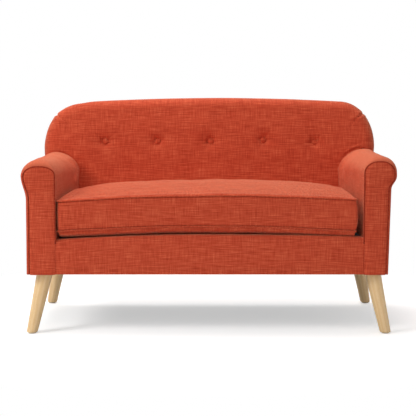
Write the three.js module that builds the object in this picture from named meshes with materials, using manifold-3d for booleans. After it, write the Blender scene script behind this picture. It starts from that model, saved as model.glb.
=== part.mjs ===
// High back settee: a loose seat cushion on a sprung seat, two rolled arms and a tall buttoned back.
// Millimetres, +Z up, the front faces -Y, and the origin is on the floor under the middle.
import * as THREE from "three";
import { mergeVertices } from "three/addons/utils/BufferGeometryUtils.js";
import Module from "manifold-3d";

const wasm = await Module();
wasm.setup();

// Fits and cloth
const clearance = 0.3;
const overrun = 60;
const fabric = 1.5;
const pipingRadius = 2.4;
const baseBottom = 206;
const overallDepth = 730;

// Legs: turned hardwood cones, splayed both ways, each with a nylon glide and a hanger bolt
const legTopDiameter = 56;
const legFootDiameter = 37;
const legSplay = 42;
const legSideInset = 19.2;
const legFrontInset = 15.6;
const legRearInset = 29.1;
const legCutAllowance = 20;
const glideDiameter = 26;
const glideThickness = 4;
const glidePinDiameter = 4;
const glidePinLength = 12;
const studDiameter = 8;
const studReach = 34;
const studGrip = 24;
const plateSide = 64;
const plateThickness = 2.7;

// Timber frame
const boardThickness = 25;
const seatRailTop = 300;
const postThickness = 22;
const blockSide = 72;
const beamWidth = 45;
const beamHeight = 40;
const armRailWidth = 52;
const armRailHeight = 22;
const armRailLift = 9;
const topRailWidth = 60;
const postHeight = 430;
const tackRailFoot = 112;
const tackRailHeight = 60;

// Springs: sinuous wires between two clip rails, tied across
const wireDiameter = 3.8;
const springCount = 7;
const springHalfSpan = 432;
const springHalfWidth = 21;
const springBend = 13;
const rungCount = 13;
const springCrown = 12;
const tieWireDiameter = 2.4;
const tieRungs = [3, 8];
const tieOverhang = 8;
const clipWall = 1.6;
const clipDepth = 15;
const clipHalfLength = 500;

// Seat deck and front border
const deckEndTop = 326;
const deckRise = 14;
const deckCloth = 1.2;
const deckSideGap = 2;
const borderRadius = 14;
const borderReturn = 45;
const borderPadding = 10;
const dustCloth = 1;
const dustMargin = 14;

// Arms: scroll section, swelling inwards and rising towards the back
const armInnerFront = 534;
const armSwell = 36;
const armOuterFoot = 617;
const armNeckAngle = THREE.MathUtils.degToRad(-48);
const armRollX = 641;
const armRollZ = 529;
const armRollHeight = 50;
const armRise = 14;
const armPadding = 12.2;
const armPadHem = 24;
const armSeamGap = 0.8;
const facingThickness = 3;
const pipingLap = 12;

// Back: raked, its outline an arch over two rounded corners
const rake = THREE.MathUtils.degToRad(10.5);
const backHeight = 597;
const backHalfWidth = 638;
const backShoulder = 401;
const backCornerWidth = 138;
const backCornerHeight = 175;
const cornerPower = 2.1;
const waistPower = 1.6;
const backFootThickness = 136;
const backTopThickness = 104;
const backRoll = 42;
const webbingThickness = 2;
const webbingWidth = 50;
const webbingPitch = 160;
const webbingLap = 22;
const webbingHeights = [190, 352, 440];

// Buttons and the tufts that they pull in
const buttonCount = 5;
const buttonSpacing = 203;
const buttonHeight = 420;
const buttonDiameter = 27;
const buttonDome = 7;
const buttonRim = 2.5;
const tuftDepth = 11;
const tuftFlat = 18;
const tuftReach = 46;
const twineDiameter = 3;

// Seat cushion: a boxed cushion with piped edges, and a zip in its rear border
const cushionFrontY = -358;
const cushionHalfFront = 515;
const cushionHalfRear = 487;
const cushionBackGap = 8;
const cushionLowSeam = 358;
const cushionTopSeam = 461;
const cushionArch = 15;
const cushionCrown = 36;
const cushionSag = 44;
const cushionTopPower = 0.5;
const cushionBottomPower = 0.3;
const cushionRest = 0.5;
const cushionBulge = 6;
const cushionPullIn = 5;
const cushionCorner = 16;
const cushionPadInset = 1.8;
const zipHalfLength = 430;
const zipTapeWidth = 26;
const zipTapeThickness = 1.2;
const zipChainWidth = 6;
const zipChainProud = 1.2;
const zipSliderLength = 12;
const zipSliderWidth = 10;
const zipSliderWall = 1.4;
const zipSliderNeck = 6.4;
const zipBridgeWidth = 2.4;
const zipBridgeHeight = 1.6;
const zipPullWidth = 6;
const zipPullLength = 20;
const zipPullThickness = 1;
const zipPullHole = 3;
const zipEndStop = 14;

// Worked out from the sizes above
const lap = fabric + clearance;
const rakeSin = Math.sin(rake);
const rakeCos = Math.cos(rake);
const rearFoot = overallDepth / 2 - backHeight * rakeSin;
const pipingOffset = (pipingRadius + clearance) * Math.SQRT1_2;
const frontPlane = -overallDepth / 2 + pipingOffset + pipingRadius;
const bodyFront = frontPlane + facingThickness + clearance;
const railBottom = baseBottom + plateThickness + 2 * clearance;
const railOuter = armOuterFoot - lap;
const railInner = railOuter - boardThickness;
const railFrontY = frontPlane + lap + borderPadding + clearance;
const rearRailY = rearFoot - lap - clearance - boardThickness;
const legHalfSpan = railInner - legSideInset;
const frontLegY = railFrontY + boardThickness + legFrontInset;
const rearLegY = rearRailY - legRearInset;
const boardFront = lap + boardThickness;
const webbingFront = boardFront + clearance + webbingThickness;
const thinning = (backFootThickness - backTopThickness) / backHeight;
const cornerStart = backHalfWidth - backCornerWidth;
const archDrop = backHeight - backShoulder - backCornerHeight;
const postInset = lap + armPadding + clearance;
const blockBore = studDiameter + 2 * clearance;

// Materials
const coverCloth = new THREE.MeshStandardMaterial({ color: 0xc04a2c, roughness: 0.92, metalness: 0 });
const hardwood = new THREE.MeshStandardMaterial({ color: 0xe0c092, roughness: 0.45, metalness: 0 });
const plywood = new THREE.MeshStandardMaterial({ color: 0xc9a877, roughness: 0.8, metalness: 0 });
const foam = new THREE.MeshStandardMaterial({ color: 0xf0e6c0, roughness: 0.95, metalness: 0 });
const steel = new THREE.MeshStandardMaterial({ color: 0x8c9096, roughness: 0.4, metalness: 1 });
const webbing = new THREE.MeshStandardMaterial({ color: 0x4a3f38, roughness: 0.9, metalness: 0 });
const blackCloth = new THREE.MeshStandardMaterial({ color: 0x1d1d1f, roughness: 0.95, metalness: 0 });
const nylon = new THREE.MeshStandardMaterial({ color: 0xd8d4c8, roughness: 0.5, metalness: 0 });

const settee = new THREE.Group();
settee.name = "high_back_settee";

// Adds a named piece to a group.
function piece(name, geometry, material, group = settee) {
  const mesh = new THREE.Mesh(geometry, material);
  mesh.name = name;
  group.add(mesh);
  return mesh;
}

// A solid that can be joined and cut, from a closed geometry.
function solidOf(geometry) {
  const bare = new THREE.BufferGeometry();
  bare.setAttribute("position", geometry.getAttribute("position"));
  bare.setIndex(geometry.index);
  const merged = mergeVertices(bare);
  return new wasm.Manifold(
    new wasm.Mesh({
      numProp: 3,
      vertProperties: merged.getAttribute("position").array,
      triVerts: new Uint32Array(merged.index.array),
    }),
  );
}

function geometryOf(solid) {
  const mesh = solid.getMesh();
  const geometry = new THREE.BufferGeometry();
  geometry.setAttribute("position", new THREE.BufferAttribute(mesh.vertProperties, mesh.numProp));
  geometry.setIndex(new THREE.BufferAttribute(mesh.triVerts, 1));
  return geometry;
}

function cut(geometry, ...tools) {
  return geometryOf(tools.reduce((left, tool) => left.subtract(solidOf(tool)), solidOf(geometry)));
}

function joined(first, ...others) {
  return geometryOf(others.reduce((sum, other) => sum.add(solidOf(other)), solidOf(first)));
}

function common(first, second) {
  return geometryOf(solidOf(first).intersect(solidOf(second)));
}

// A box between two corners.
function box([x0, y0, z0], [x1, y1, z1]) {
  const made = new THREE.BoxGeometry(x1 - x0, y1 - y0, z1 - z0);
  return made.translate((x0 + x1) / 2, (y0 + y1) / 2, (z0 + z1) / 2);
}

// An upright round bar on a centre, from one height to another.
function bar(x, y, radius, z0, z1, sides) {
  const made = new THREE.CylinderGeometry(radius, radius, z1 - z0, sides);
  return made.rotateX(Math.PI / 2).translate(x, y, (z0 + z1) / 2);
}

// A closed skin from points and triangles, turned so that its faces point outwards.
function skin(points, triangles) {
  const [a, b, c] = [new THREE.Vector3(), new THREE.Vector3(), new THREE.Vector3()];
  let volume = 0;
  for (const [i, j, k] of triangles) {
    volume += a.fromArray(points[i]).dot(b.fromArray(points[j]).cross(c.fromArray(points[k])));
  }
  const turned = volume > 0 ? triangles : triangles.map(([i, j, k]) => [i, k, j]);
  const geometry = new THREE.BufferGeometry();
  geometry.setAttribute("position", new THREE.Float32BufferAttribute(points.flat(), 3));
  geometry.setIndex(turned.flat());
  return geometry;
}

// Two triangles for each side between a loop of corners and the next loop.
function band(near, far, closed = true) {
  const sides = closed ? near.length : near.length - 1;
  return Array.from({ length: sides }, (_, i) => {
    const next = (i + 1) % near.length;
    return [
      [near[next], near[i], far[i]],
      [near[next], far[i], far[next]],
    ];
  }).flat();
}

// A loft through rings of as many points each, with a flat cap at both ends.
// The two axes, such as [0, 2] for X and Z, span the plane of the caps.
function loft(rings, axes) {
  const size = rings[0].length;
  const loops = rings.map((_, k) => rings[0].map((_, i) => k * size + i));
  const triangles = loops.slice(1).flatMap((loop, k) => band(loops[k], loop));
  const cap = (ring) =>
    THREE.ShapeUtils.triangulateShape(
      ring.map((point) => new THREE.Vector2(point[axes[0]], point[axes[1]])),
      [],
    );
  // A cap's winding follows its ring's, so one end is turned to agree with the sides.
  const ringIsLeftHanded =
    THREE.ShapeUtils.area(rings[0].map((p) => new THREE.Vector2(p[axes[0]], p[axes[1]]))) < 0;
  const capTriangles = (ring, start, flip) =>
    cap(ring).map(([i, j, k]) => (flip ? [i, k, j] : [i, j, k]).map((corner) => start + corner));
  triangles.push(...capTriangles(rings[0], 0, ringIsLeftHanded));
  triangles.push(...capTriangles(rings.at(-1), (rings.length - 1) * size, !ringIsLeftHanded));
  return skin(rings.flat(), triangles);
}

// The rows and columns of a grid's rim, once round.
function rimOf(rows, columns) {
  const along = [...Array(columns).keys()].map((j) => [0, j]);
  const up = [...Array(rows - 1).keys()].map((i) => [i + 1, columns - 1]);
  const backAlong = [...Array(columns - 1).keys()].map((j) => [rows - 1, columns - 2 - j]);
  const down = [...Array(rows - 2).keys()].map((i) => [rows - 2 - i, 0]);
  return [...along, ...up, ...backAlong, ...down];
}

// A block from a face and a back, both rows of points, with loops round its edge between the two.
function block(face, back, loops = []) {
  const rows = face.length;
  const columns = face[0].length;
  const rim = rimOf(rows, columns);
  const backStart = rows * columns;
  const loopStart = 2 * backStart;
  const quads = [];
  for (let i = 0; i + 1 < rows; i++) {
    for (let j = 0; j + 1 < columns; j++) {
      const corner = i * columns + j;
      const above = corner + columns;
      quads.push([corner, corner + 1, above + 1], [corner, above + 1, above]);
    }
  }
  const bands = [
    rim.map(([i, j]) => i * columns + j),
    ...loops.map((loop, k) => loop.map((_, n) => loopStart + k * rim.length + n)),
    rim.map(([i, j]) => backStart + i * columns + j),
  ];
  const triangles = [
    ...quads,
    ...quads.map(([a, b, c]) => [backStart + a, backStart + c, backStart + b]),
    ...bands.slice(1).flatMap((loop, k) => band(bands[k], loop)),
  ];
  return skin([...face.flat(), ...back.flat(), ...loops.flat()], triangles);
}

// A round cord or wire through points, its rings square to its course.
function cordThrough(course, radius, sides, closed = false) {
  const points = course.map((p) => new THREE.Vector3(...p));
  const count = points.length;
  const at = (i) => points[closed ? (i + count) % count : THREE.MathUtils.clamp(i, 0, count - 1)];
  const start = at(1).clone().sub(at(0));
  const isUpright = Math.abs(start.z) > Math.hypot(start.x, start.y);
  const side = isUpright ? new THREE.Vector3(0, 1, 0) : new THREE.Vector3(0, 0, 1);
  const rings = points.map((point, i) => {
    const heading = at(i + 1).clone().sub(at(i - 1)).normalize();
    side.addScaledVector(heading, -side.dot(heading)).normalize();
    const other = heading.clone().cross(side);
    return Array.from({ length: sides }, (_, k) => {
      const angle = (2 * Math.PI * (k + 0.5)) / sides;
      const spoke = side.clone().multiplyScalar(Math.cos(angle)).addScaledVector(other, Math.sin(angle));
      return point.clone().addScaledVector(spoke, radius).toArray();
    });
  });
  const loops = rings.map((ring, k) => ring.map((_, i) => k * sides + i));
  const triangles = loops.slice(1).flatMap((loop, k) => band(loops[k], loop));
  if (closed) {
    triangles.push(...band(loops.at(-1), loops[0]));
  } else {
    for (let i = 1; i + 1 < sides; i++) {
      const last = (count - 1) * sides;
      triangles.push([0, i, i + 1], [last, last + i + 1, last + i]);
    }
  }
  return skin(rings.flat(), triangles);
}

// Heights and widths that several pieces share.

// The deck rises to its middle in a shallow arch.
const deckStations = 9;
function deckTop(x) {
  return deckEndTop + deckRise * (1 - (x / armInnerFront) ** 2);
}

// A point x across, h up the rake and t forward of the back's rear face.
function onBack(x, h, t) {
  return [x, rearFoot + h * rakeSin - t * rakeCos, baseBottom + h * rakeCos + t * rakeSin];
}

function backThickness(h) {
  return backFootThickness - thinning * h;
}

// How far back the back's front face lies at a height, which is a plane below the tufts.
function backFrontY(z) {
  const h = (z - baseBottom - backFootThickness * rakeSin) / (rakeCos - thinning * rakeSin);
  return onBack(0, h, backThickness(h))[1];
}

// Half the back's width below the shoulder, which draws in towards its foot.
function waistAt(h, inset) {
  const share = THREE.MathUtils.clamp(h / backShoulder, 0, 1) ** waistPower;
  return armOuterFoot + (backHalfWidth - armOuterFoot) * share - inset;
}

// The height of the back's outline over a place across it.
function backTopAt(x, inset) {
  const past = Math.abs(x) - cornerStart;
  if (past <= 0) {
    return backHeight - archDrop * (x / cornerStart) ** 2 - inset;
  }
  const share = Math.min(1, past / (backCornerWidth - inset));
  return backShoulder + (backCornerHeight - inset) * (1 - share ** cornerPower) ** (1 / cornerPower);
}

// Half the outline, from the foot up the side and over to the middle, with a point at each share.
const waistShares = [0, 0.35, 0.6, 0.75, 0.88, 1];
const cornerShares = [1, 0.98, 0.92, 0.77, 0.5, 0.2, 0];
const archShares = [0.75, 0.5, 0.25];
function halfOutline(inset) {
  const side = waistShares.map((share) => [waistAt(share * backShoulder, inset), share * backShoulder]);
  const corner = cornerShares.slice(1).map((share) => {
    const x = cornerStart + (backCornerWidth - inset) * share;
    return [x, backTopAt(x, inset)];
  });
  const arch = archShares.map((share) => [cornerStart * share, backTopAt(cornerStart * share, inset)]);
  return [...side, ...corner, ...arch];
}

function wholeOutline(inset) {
  const half = halfOutline(inset);
  return [...half, [0, backTopAt(0, inset)], ...half.map(([x, h]) => [-x, h]).reverse()];
}

// Legs, with their plates and glides.
function legs() {
  for (const [row, y, way] of [["front", frontLegY, -1], ["rear", rearLegY, 1]]) {
    for (const [hand, side] of [["left", -1], ["right", 1]]) {
      const name = `${row}_${hand}`;
      const x = side * legHalfSpan;
      const foot = new THREE.Vector3(x + side * legSplay, y + way * legSplay, glideThickness);
      const top = new THREE.Vector3(x, y, baseBottom);
      leg(name, foot, top);
      legPlate(name, x, y);
      legGlide(name, foot);
    }
  }
}

// A leg is turned longer than it is, tipped to its splay and sawn level at both ends.
function leg(name, foot, top) {
  const axis = top.clone().sub(foot);
  const length = axis.length();
  axis.normalize();
  const taper = (legTopDiameter - legFootDiameter) / 2 / length;
  const blank = new THREE.CylinderGeometry(
    legTopDiameter / 2 + taper * legCutAllowance,
    legFootDiameter / 2 - taper * legCutAllowance,
    length + 2 * legCutAllowance,
    24,
  );
  blank.applyQuaternion(new THREE.Quaternion().setFromUnitVectors(new THREE.Vector3(0, 1, 0), axis));
  blank.translate((foot.x + top.x) / 2, (foot.y + top.y) / 2, (foot.z + top.z) / 2);
  const reach = legTopDiameter + legSplay;
  const level = box([top.x - reach, top.y - reach, foot.z], [top.x + reach, top.y + reach, top.z]);
  const stud = bar(top.x, top.y, studDiameter / 2, top.z - studGrip, top.z + studReach, 12);
  const pinHole = bar(
    foot.x,
    foot.y,
    glidePinDiameter / 2 + clearance,
    foot.z - overrun,
    foot.z + glidePinLength,
    8,
  );
  const made = cut(joined(common(blank, level), stud), pinHole);
  piece(`leg_${name}`, made, hardwood);
}

function legPlate(name, x, y) {
  const low = baseBottom + clearance;
  const half = plateSide / 2;
  const plate = box([x - half, y - half, low], [x + half, y + half, low + plateThickness]);
  const hole = bar(x, y, blockBore / 2, low - overrun, low + overrun, 12);
  piece(`leg_plate_${name}`, cut(plate, hole), steel);
}

// A glide is a nylon disc with a pin that is tapped into the foot.
function legGlide(name, foot) {
  const top = glideThickness - clearance;
  const disc = bar(foot.x, foot.y, glideDiameter / 2, 0, top, 20);
  const pin = bar(foot.x, foot.y, glidePinDiameter / 2, 0, top + glidePinLength - clearance, 8);
  piece(`leg_glide_${name}`, joined(disc, pin), nylon);
}

// Seat frame: rails, corner blocks bored for the leg bolts, and a beam under the springs.
function seatFrame() {
  const frontRear = railFrontY + boardThickness;
  const postInner = armInnerAt(bodyFront + postThickness) + postInset;
  piece(
    "front_rail",
    box([-postInner + clearance, railFrontY, railBottom], [postInner - clearance, frontRear, seatRailTop]),
    plywood,
  );
  const rearHalf = railInner - clearance;
  piece(
    "rear_rail",
    box([-rearHalf, rearRailY, railBottom], [rearHalf, rearRailY + boardThickness, seatRailTop]),
    plywood,
  );
  const beamHalf = beamWidth / 2;
  piece(
    "centre_beam",
    box(
      [-beamHalf, frontRear + clearance, railBottom],
      [beamHalf, rearRailY - clearance, railBottom + beamHeight],
    ),
    plywood,
  );
  for (const [hand, side] of [["left", -1], ["right", 1]]) {
    sideRail(`side_rail_${hand}`, side);
    cornerBlock(`corner_block_front_${hand}`, side, frontRear + clearance, 1, frontLegY);
    cornerBlock(`corner_block_rear_${hand}`, side, rearRailY - clearance, -1, rearLegY);
  }
}

// A side rail runs from the arm's front post to the raked back post.
function sideRail(name, side) {
  const front = bodyFront + postThickness + clearance;
  const rearAt = (z) => {
    const h = (z - baseBottom - boardFront * rakeSin) / rakeCos;
    return onBack(0, h, boardFront)[1] - clearance;
  };
  const outline = [
    [front, railBottom],
    [rearAt(railBottom), railBottom],
    [rearAt(seatRailTop), seatRailTop],
    [front, seatRailTop],
  ];
  const ring = (x) => outline.map(([y, z]) => [x, y, z]);
  piece(name, loft([ring(side * railInner), ring(side * railOuter)], [1, 2]), plywood);
}

function cornerBlock(name, side, y, way, boltY) {
  const x = side * (railInner - clearance);
  const corners = [
    [x, y],
    [x - side * blockSide, y],
    [x, y + way * blockSide],
  ];
  const ring = (z) => corners.map((corner) => [...corner, z]);
  const prism = loft([ring(railBottom), ring(seatRailTop)], [0, 1]);
  const bore = bar(
    side * legHalfSpan,
    boltY,
    blockBore / 2,
    railBottom - overrun,
    baseBottom + studReach + overrun,
    12,
  );
  piece(name, cut(prism, bore), hardwood);
}

// Sinuous springs lie in the clip rails at both ends and rise to a crown in the middle.
function springs() {
  const clipFoot = seatRailTop + clearance;
  const wireZ = clipFoot + clipWall + clearance + wireDiameter / 2;
  const clipTop = clipFoot + 2 * clipWall + 2 * clearance + wireDiameter;
  const frontClip = railFrontY + clearance;
  const rearClip = rearRailY + boardThickness - clearance;
  const clip = (outer, way) => {
    const inner = outer + way * clipDepth;
    const web = outer + way * clipWall;
    const profile = [
      [outer, clipFoot],
      [inner, clipFoot],
      [inner, clipFoot + clipWall],
      [web, clipFoot + clipWall],
      [web, clipTop - clipWall],
      [inner, clipTop - clipWall],
      [inner, clipTop],
      [outer, clipTop],
    ];
    const ring = (x) => profile.map(([y, z]) => [x, y, z]);
    return loft([ring(-clipHalfLength), ring(clipHalfLength)], [1, 2]);
  };
  piece("spring_clip_rail_front", clip(frontClip, 1), steel);
  piece("spring_clip_rail_rear", clip(rearClip, -1), steel);

  const inset = clipWall + clearance + wireDiameter / 2;
  const [start, end] = [frontClip + inset, rearClip - inset];
  const pitch = (end - start) / (rungCount - 1);
  const crownAt = (y) => wireZ + springCrown * Math.sin((Math.PI * (y - start)) / (end - start));
  const spring = (x) => {
    const course = [];
    for (let rung = 0; rung < rungCount; rung++) {
      const way = rung % 2 ? -1 : 1;
      const y = start + rung * pitch;
      course.push([x - way * springHalfWidth, y, crownAt(y)], [x + way * springHalfWidth, y, crownAt(y)]);
      if (rung + 1 < rungCount) {
        const middle = y + pitch / 2;
        course.push([x + way * (springHalfWidth + springBend), middle, crownAt(middle)]);
      }
    }
    return cordThrough(course, wireDiameter / 2, 4);
  };
  const row = Array.from({ length: springCount }, (_, i) =>
    spring(-springHalfSpan + (2 * springHalfSpan * i) / (springCount - 1)),
  );
  const tieHalf = springHalfSpan + springHalfWidth + springBend + tieOverhang;
  const ties = tieRungs.map((rung) => {
    const y = start + (rung + 1 / 2) * pitch;
    return cordThrough(
      [
        [-tieHalf, y, crownAt(y)],
        [tieHalf, y, crownAt(y)],
      ],
      tieWireDiameter / 2,
      4,
    );
  });
  piece("spring_bank", joined(...ties, ...row), steel);
  return wireZ + springCrown + wireDiameter / 2;
}

// How far along an arm a place lies, from its front to the back's front face.
function armShareAt(y) {
  return (y - frontPlane) / (backFrontY(armRollZ) - frontPlane);
}

// The inner face of an arm, which swells towards the back.
function armInnerAt(y) {
  return armInnerFront - armSwell * armShareAt(y);
}

// The right arm's section at a place along it, drawn in by an inset, as points of X and Z.
const rollSteps = 11;
function armSection(y, inset, foot) {
  const inner = armInnerAt(y);
  const centre = (inner + armRollX) / 2;
  const across = (armRollX - inner) / 2 - inset;
  const rise = armRise * armShareAt(y);
  const height = armRollHeight + rise / 2 - inset;
  const middle = armRollZ + rise / 2;
  const points = [[inner + inset, foot]];
  for (let i = 0; i <= rollSteps; i++) {
    const angle = THREE.MathUtils.lerp(Math.PI, armNeckAngle, i / rollSteps);
    points.push([centre + across * Math.cos(angle), middle + height * Math.sin(angle)]);
  }
  points.push([armOuterFoot - inset, foot]);
  return points;
}

const armStations = 4;
function armBody(inset, start, end, foot, stations = armStations) {
  const rings = Array.from({ length: stations }, (_, i) => {
    const y = THREE.MathUtils.lerp(start, end, i / (stations - 1));
    return armSection(y, inset, foot).map(([x, z]) => [x, y, z]);
  });
  return loft(rings, [0, 2]);
}

// Turns a right-hand piece into a left-hand one.
function handed(geometry, side) {
  if (side > 0) {
    return geometry;
  }
  const points = geometry.getAttribute("position").clone();
  for (let i = 0; i < points.count; i++) {
    points.setX(i, -points.getX(i));
  }
  const order = Array.from(geometry.index.array);
  for (let i = 0; i < order.length; i += 3) {
    [order[i + 1], order[i + 2]] = [order[i + 2], order[i + 1]];
  }
  const mirrored = new THREE.BufferGeometry();
  mirrored.setAttribute("position", points);
  mirrored.setIndex(order);
  return mirrored;
}

// What lies behind a surface that keeps a distance from the back's edge roll.
function behindRoll(gap) {
  const wide = 2 * backHalfWidth;
  const low = -overrun * 2;
  const high = backHeight + overrun;
  const front = (x, h) => onBack(x, h, backThickness(h) - backRoll + gap);
  const rear = (x, h) => onBack(x, h, -overrun * 2);
  const grid = (at) => [low, high].map((h) => [-wide, wide].map((x) => at(x, h)));
  return block(grid(front), grid(rear));
}

// Each arm is a cloth shell over foam on a frame, with a flat piped facing on its front post.
function arms() {
  const rear = rearFoot + overrun;
  const envelope = backBody(-armSeamGap, -overrun);
  const behind = behindRoll(clearance);
  const below = baseBottom - overrun;
  const start = bodyFront;

  // The inner cloth and padding stop over the seat rails.
  const well = box([0, start - overrun, below], [railOuter, rear + overrun, seatRailTop + clearance]);
  const shell = cut(
    armBody(0, start, rear, baseBottom),
    armBody(fabric, start - overrun, rear + overrun, below),
    envelope,
    behind,
    well,
  );
  const hem = box(
    [(armInnerFront + armRollX) / 2, start - overrun, below],
    [armRollX + overrun, rear + overrun, armRollZ - armRollHeight - armPadHem],
  );
  const padding = cut(
    armBody(lap, start, rear, baseBottom),
    armBody(lap + armPadding, start - overrun, rear + overrun, below),
    envelope,
    behind,
    hem,
    well,
  );
  const post = armBody(postInset, start, start + postThickness, railBottom, 2);
  const facing = armBody(0, frontPlane, frontPlane + facingThickness, baseBottom, 2);

  const loop = armSection(frontPlane, -pipingOffset, baseBottom);
  const course = [[loop[0][0], deckEndTop - pipingLap], ...loop.slice(1)];
  const piping = cordThrough(
    course.map(([x, z]) => [x, frontPlane - pipingOffset, z]),
    pipingRadius,
    6,
  );

  const railMiddle = (armInnerFront + armRollX) / 2;
  const railLow = armRollZ + armRailLift - armRailHeight / 2;
  const railY = start + postThickness + clearance;
  const railEnd = (z) => {
    const h = (z - baseBottom - boardFront * rakeSin) / rakeCos;
    return onBack(0, h, boardFront)[1] - clearance;
  };
  const railProfile = [
    [railY, railLow],
    [railEnd(railLow), railLow],
    [railEnd(railLow + armRailHeight), railLow + armRailHeight],
    [railY, railLow + armRailHeight],
  ];
  const railRing = (x) => railProfile.map(([y, z]) => [x, y, z]);
  const railSides = [railMiddle - armRailWidth / 2, railMiddle + armRailWidth / 2];
  const topRail = loft(railSides.map(railRing), [1, 2]);

  for (const [hand, side] of [["left", -1], ["right", 1]]) {
    piece(`arm_cover_${hand}`, handed(shell, side), coverCloth);
    piece(`arm_foam_${hand}`, handed(padding, side), foam);
    piece(`arm_front_post_${hand}`, handed(post, side), plywood);
    piece(`arm_facing_${hand}`, handed(facing, side), coverCloth);
    piece(`arm_piping_${hand}`, handed(piping, side), coverCloth);
    piece(`arm_top_rail_${hand}`, handed(topRail, side), plywood);
  }
}

// Shares of the way across a tuft, up to its row, and in from the back's edge.
const tuftShares = [-1, -tuftFlat / tuftReach, tuftFlat / tuftReach, 1];
const lowShares = [0, 0.3, 0.52, 0.76];
const rollShares = [0.95, 0.5, 0.16, 0];
const buttonPlaces = Array.from(
  { length: buttonCount },
  (_, i) => (i - (buttonCount - 1) / 2) * buttonSpacing,
);
const backLowEdge = -2 * overrun;

const outlineSamples = [[armOuterFoot, backLowEdge], ...wholeOutline(0), [-armOuterFoot, backLowEdge]];
function edgeDistance(x, h) {
  let nearest = Infinity;
  for (let i = 0; i + 1 < outlineSamples.length; i++) {
    const [[x0, h0], [x1, h1]] = [outlineSamples[i], outlineSamples[i + 1]];
    const [dx, dh] = [x1 - x0, h1 - h0];
    const along = THREE.MathUtils.clamp(((x - x0) * dx + (h - h0) * dh) / (dx * dx + dh * dh), 0, 1);
    nearest = Math.min(nearest, Math.hypot(x - x0 - along * dx, h - h0 - along * dh));
  }
  return nearest;
}

// How far forward the back's face lies: a flat front, rolled at its edge and pulled in at each button.
function backSurface(x, h, inset) {
  const radius = backRoll - inset;
  const depth = THREE.MathUtils.clamp(edgeDistance(x, h) - inset, 0, radius);
  const drop = radius - Math.sqrt(radius ** 2 - (radius - depth) ** 2);
  const plain = backThickness(h) - inset - drop;
  const seat = backThickness(buttonHeight) - tuftDepth - inset;
  const away = buttonPlaces.map((place) => Math.max(Math.abs(x - place), Math.abs(h - buttonHeight)));
  const pull = 1 - THREE.MathUtils.smoothstep(Math.min(...away), tuftFlat, tuftReach);
  return THREE.MathUtils.lerp(plain, seat, pull);
}

// The back's padded body behind its front face, drawn in by an inset, down to a flat rear.
function backBody(inset, rear) {
  const radius = backRoll - inset;
  const corners = cornerShares.map((share) => ({ share, side: 1 }));
  const columns = [
    ...corners.map((corner) => ({ ...corner, side: -1 })),
    ...buttonPlaces.flatMap((place) => tuftShares.map((share) => ({ x: place + share * tuftReach }))),
    ...corners.reverse(),
  ];
  const heights = [
    ...lowShares.map((share) => THREE.MathUtils.lerp(backLowEdge, buttonHeight - tuftReach, share)),
    ...tuftShares.map((share) => buttonHeight + share * tuftReach),
  ];
  const placeOf = (column, reach) => column.x ?? column.side * (cornerStart + reach * column.share);
  const crestOf = (column) => backTopAt(placeOf(column, backCornerWidth - inset), inset) - backRoll;
  const fullCrest = backTopAt(buttonPlaces.at(-1) + tuftReach, inset) - backRoll;
  const lowRows = heights.map((height) => (column) => {
    const squeeze = Math.min(1, (crestOf(column) - backLowEdge) / (fullCrest - backLowEdge));
    return backLowEdge + (height - backLowEdge) * squeeze;
  });
  const rollRows = rollShares.map((share) => (column) => crestOf(column) + backRoll - share * radius);
  const plan = [...lowRows, ...rollRows].map((heightOf) =>
    columns.map((column) => {
      const h = heightOf(column);
      const reach = h < backShoulder ? waistAt(h, inset) - cornerStart : backCornerWidth - inset;
      return [placeOf(column, reach), h];
    }),
  );
  const face = plan.map((row) => row.map(([x, h]) => onBack(x, h, backSurface(x, h, inset))));
  const back = plan.map((row) => row.map(([x, h]) => onBack(x, h, rear)));
  return block(face, back);
}

// A bar along the way forward from the back's rear face, at a place across it and up it.
function backBar(x, h, radius, t0, t1, sides) {
  const made = new THREE.CylinderGeometry(radius, radius, t1 - t0, sides);
  return made.rotateX(-rake).translate(...onBack(x, h, (t0 + t1) / 2));
}

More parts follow.
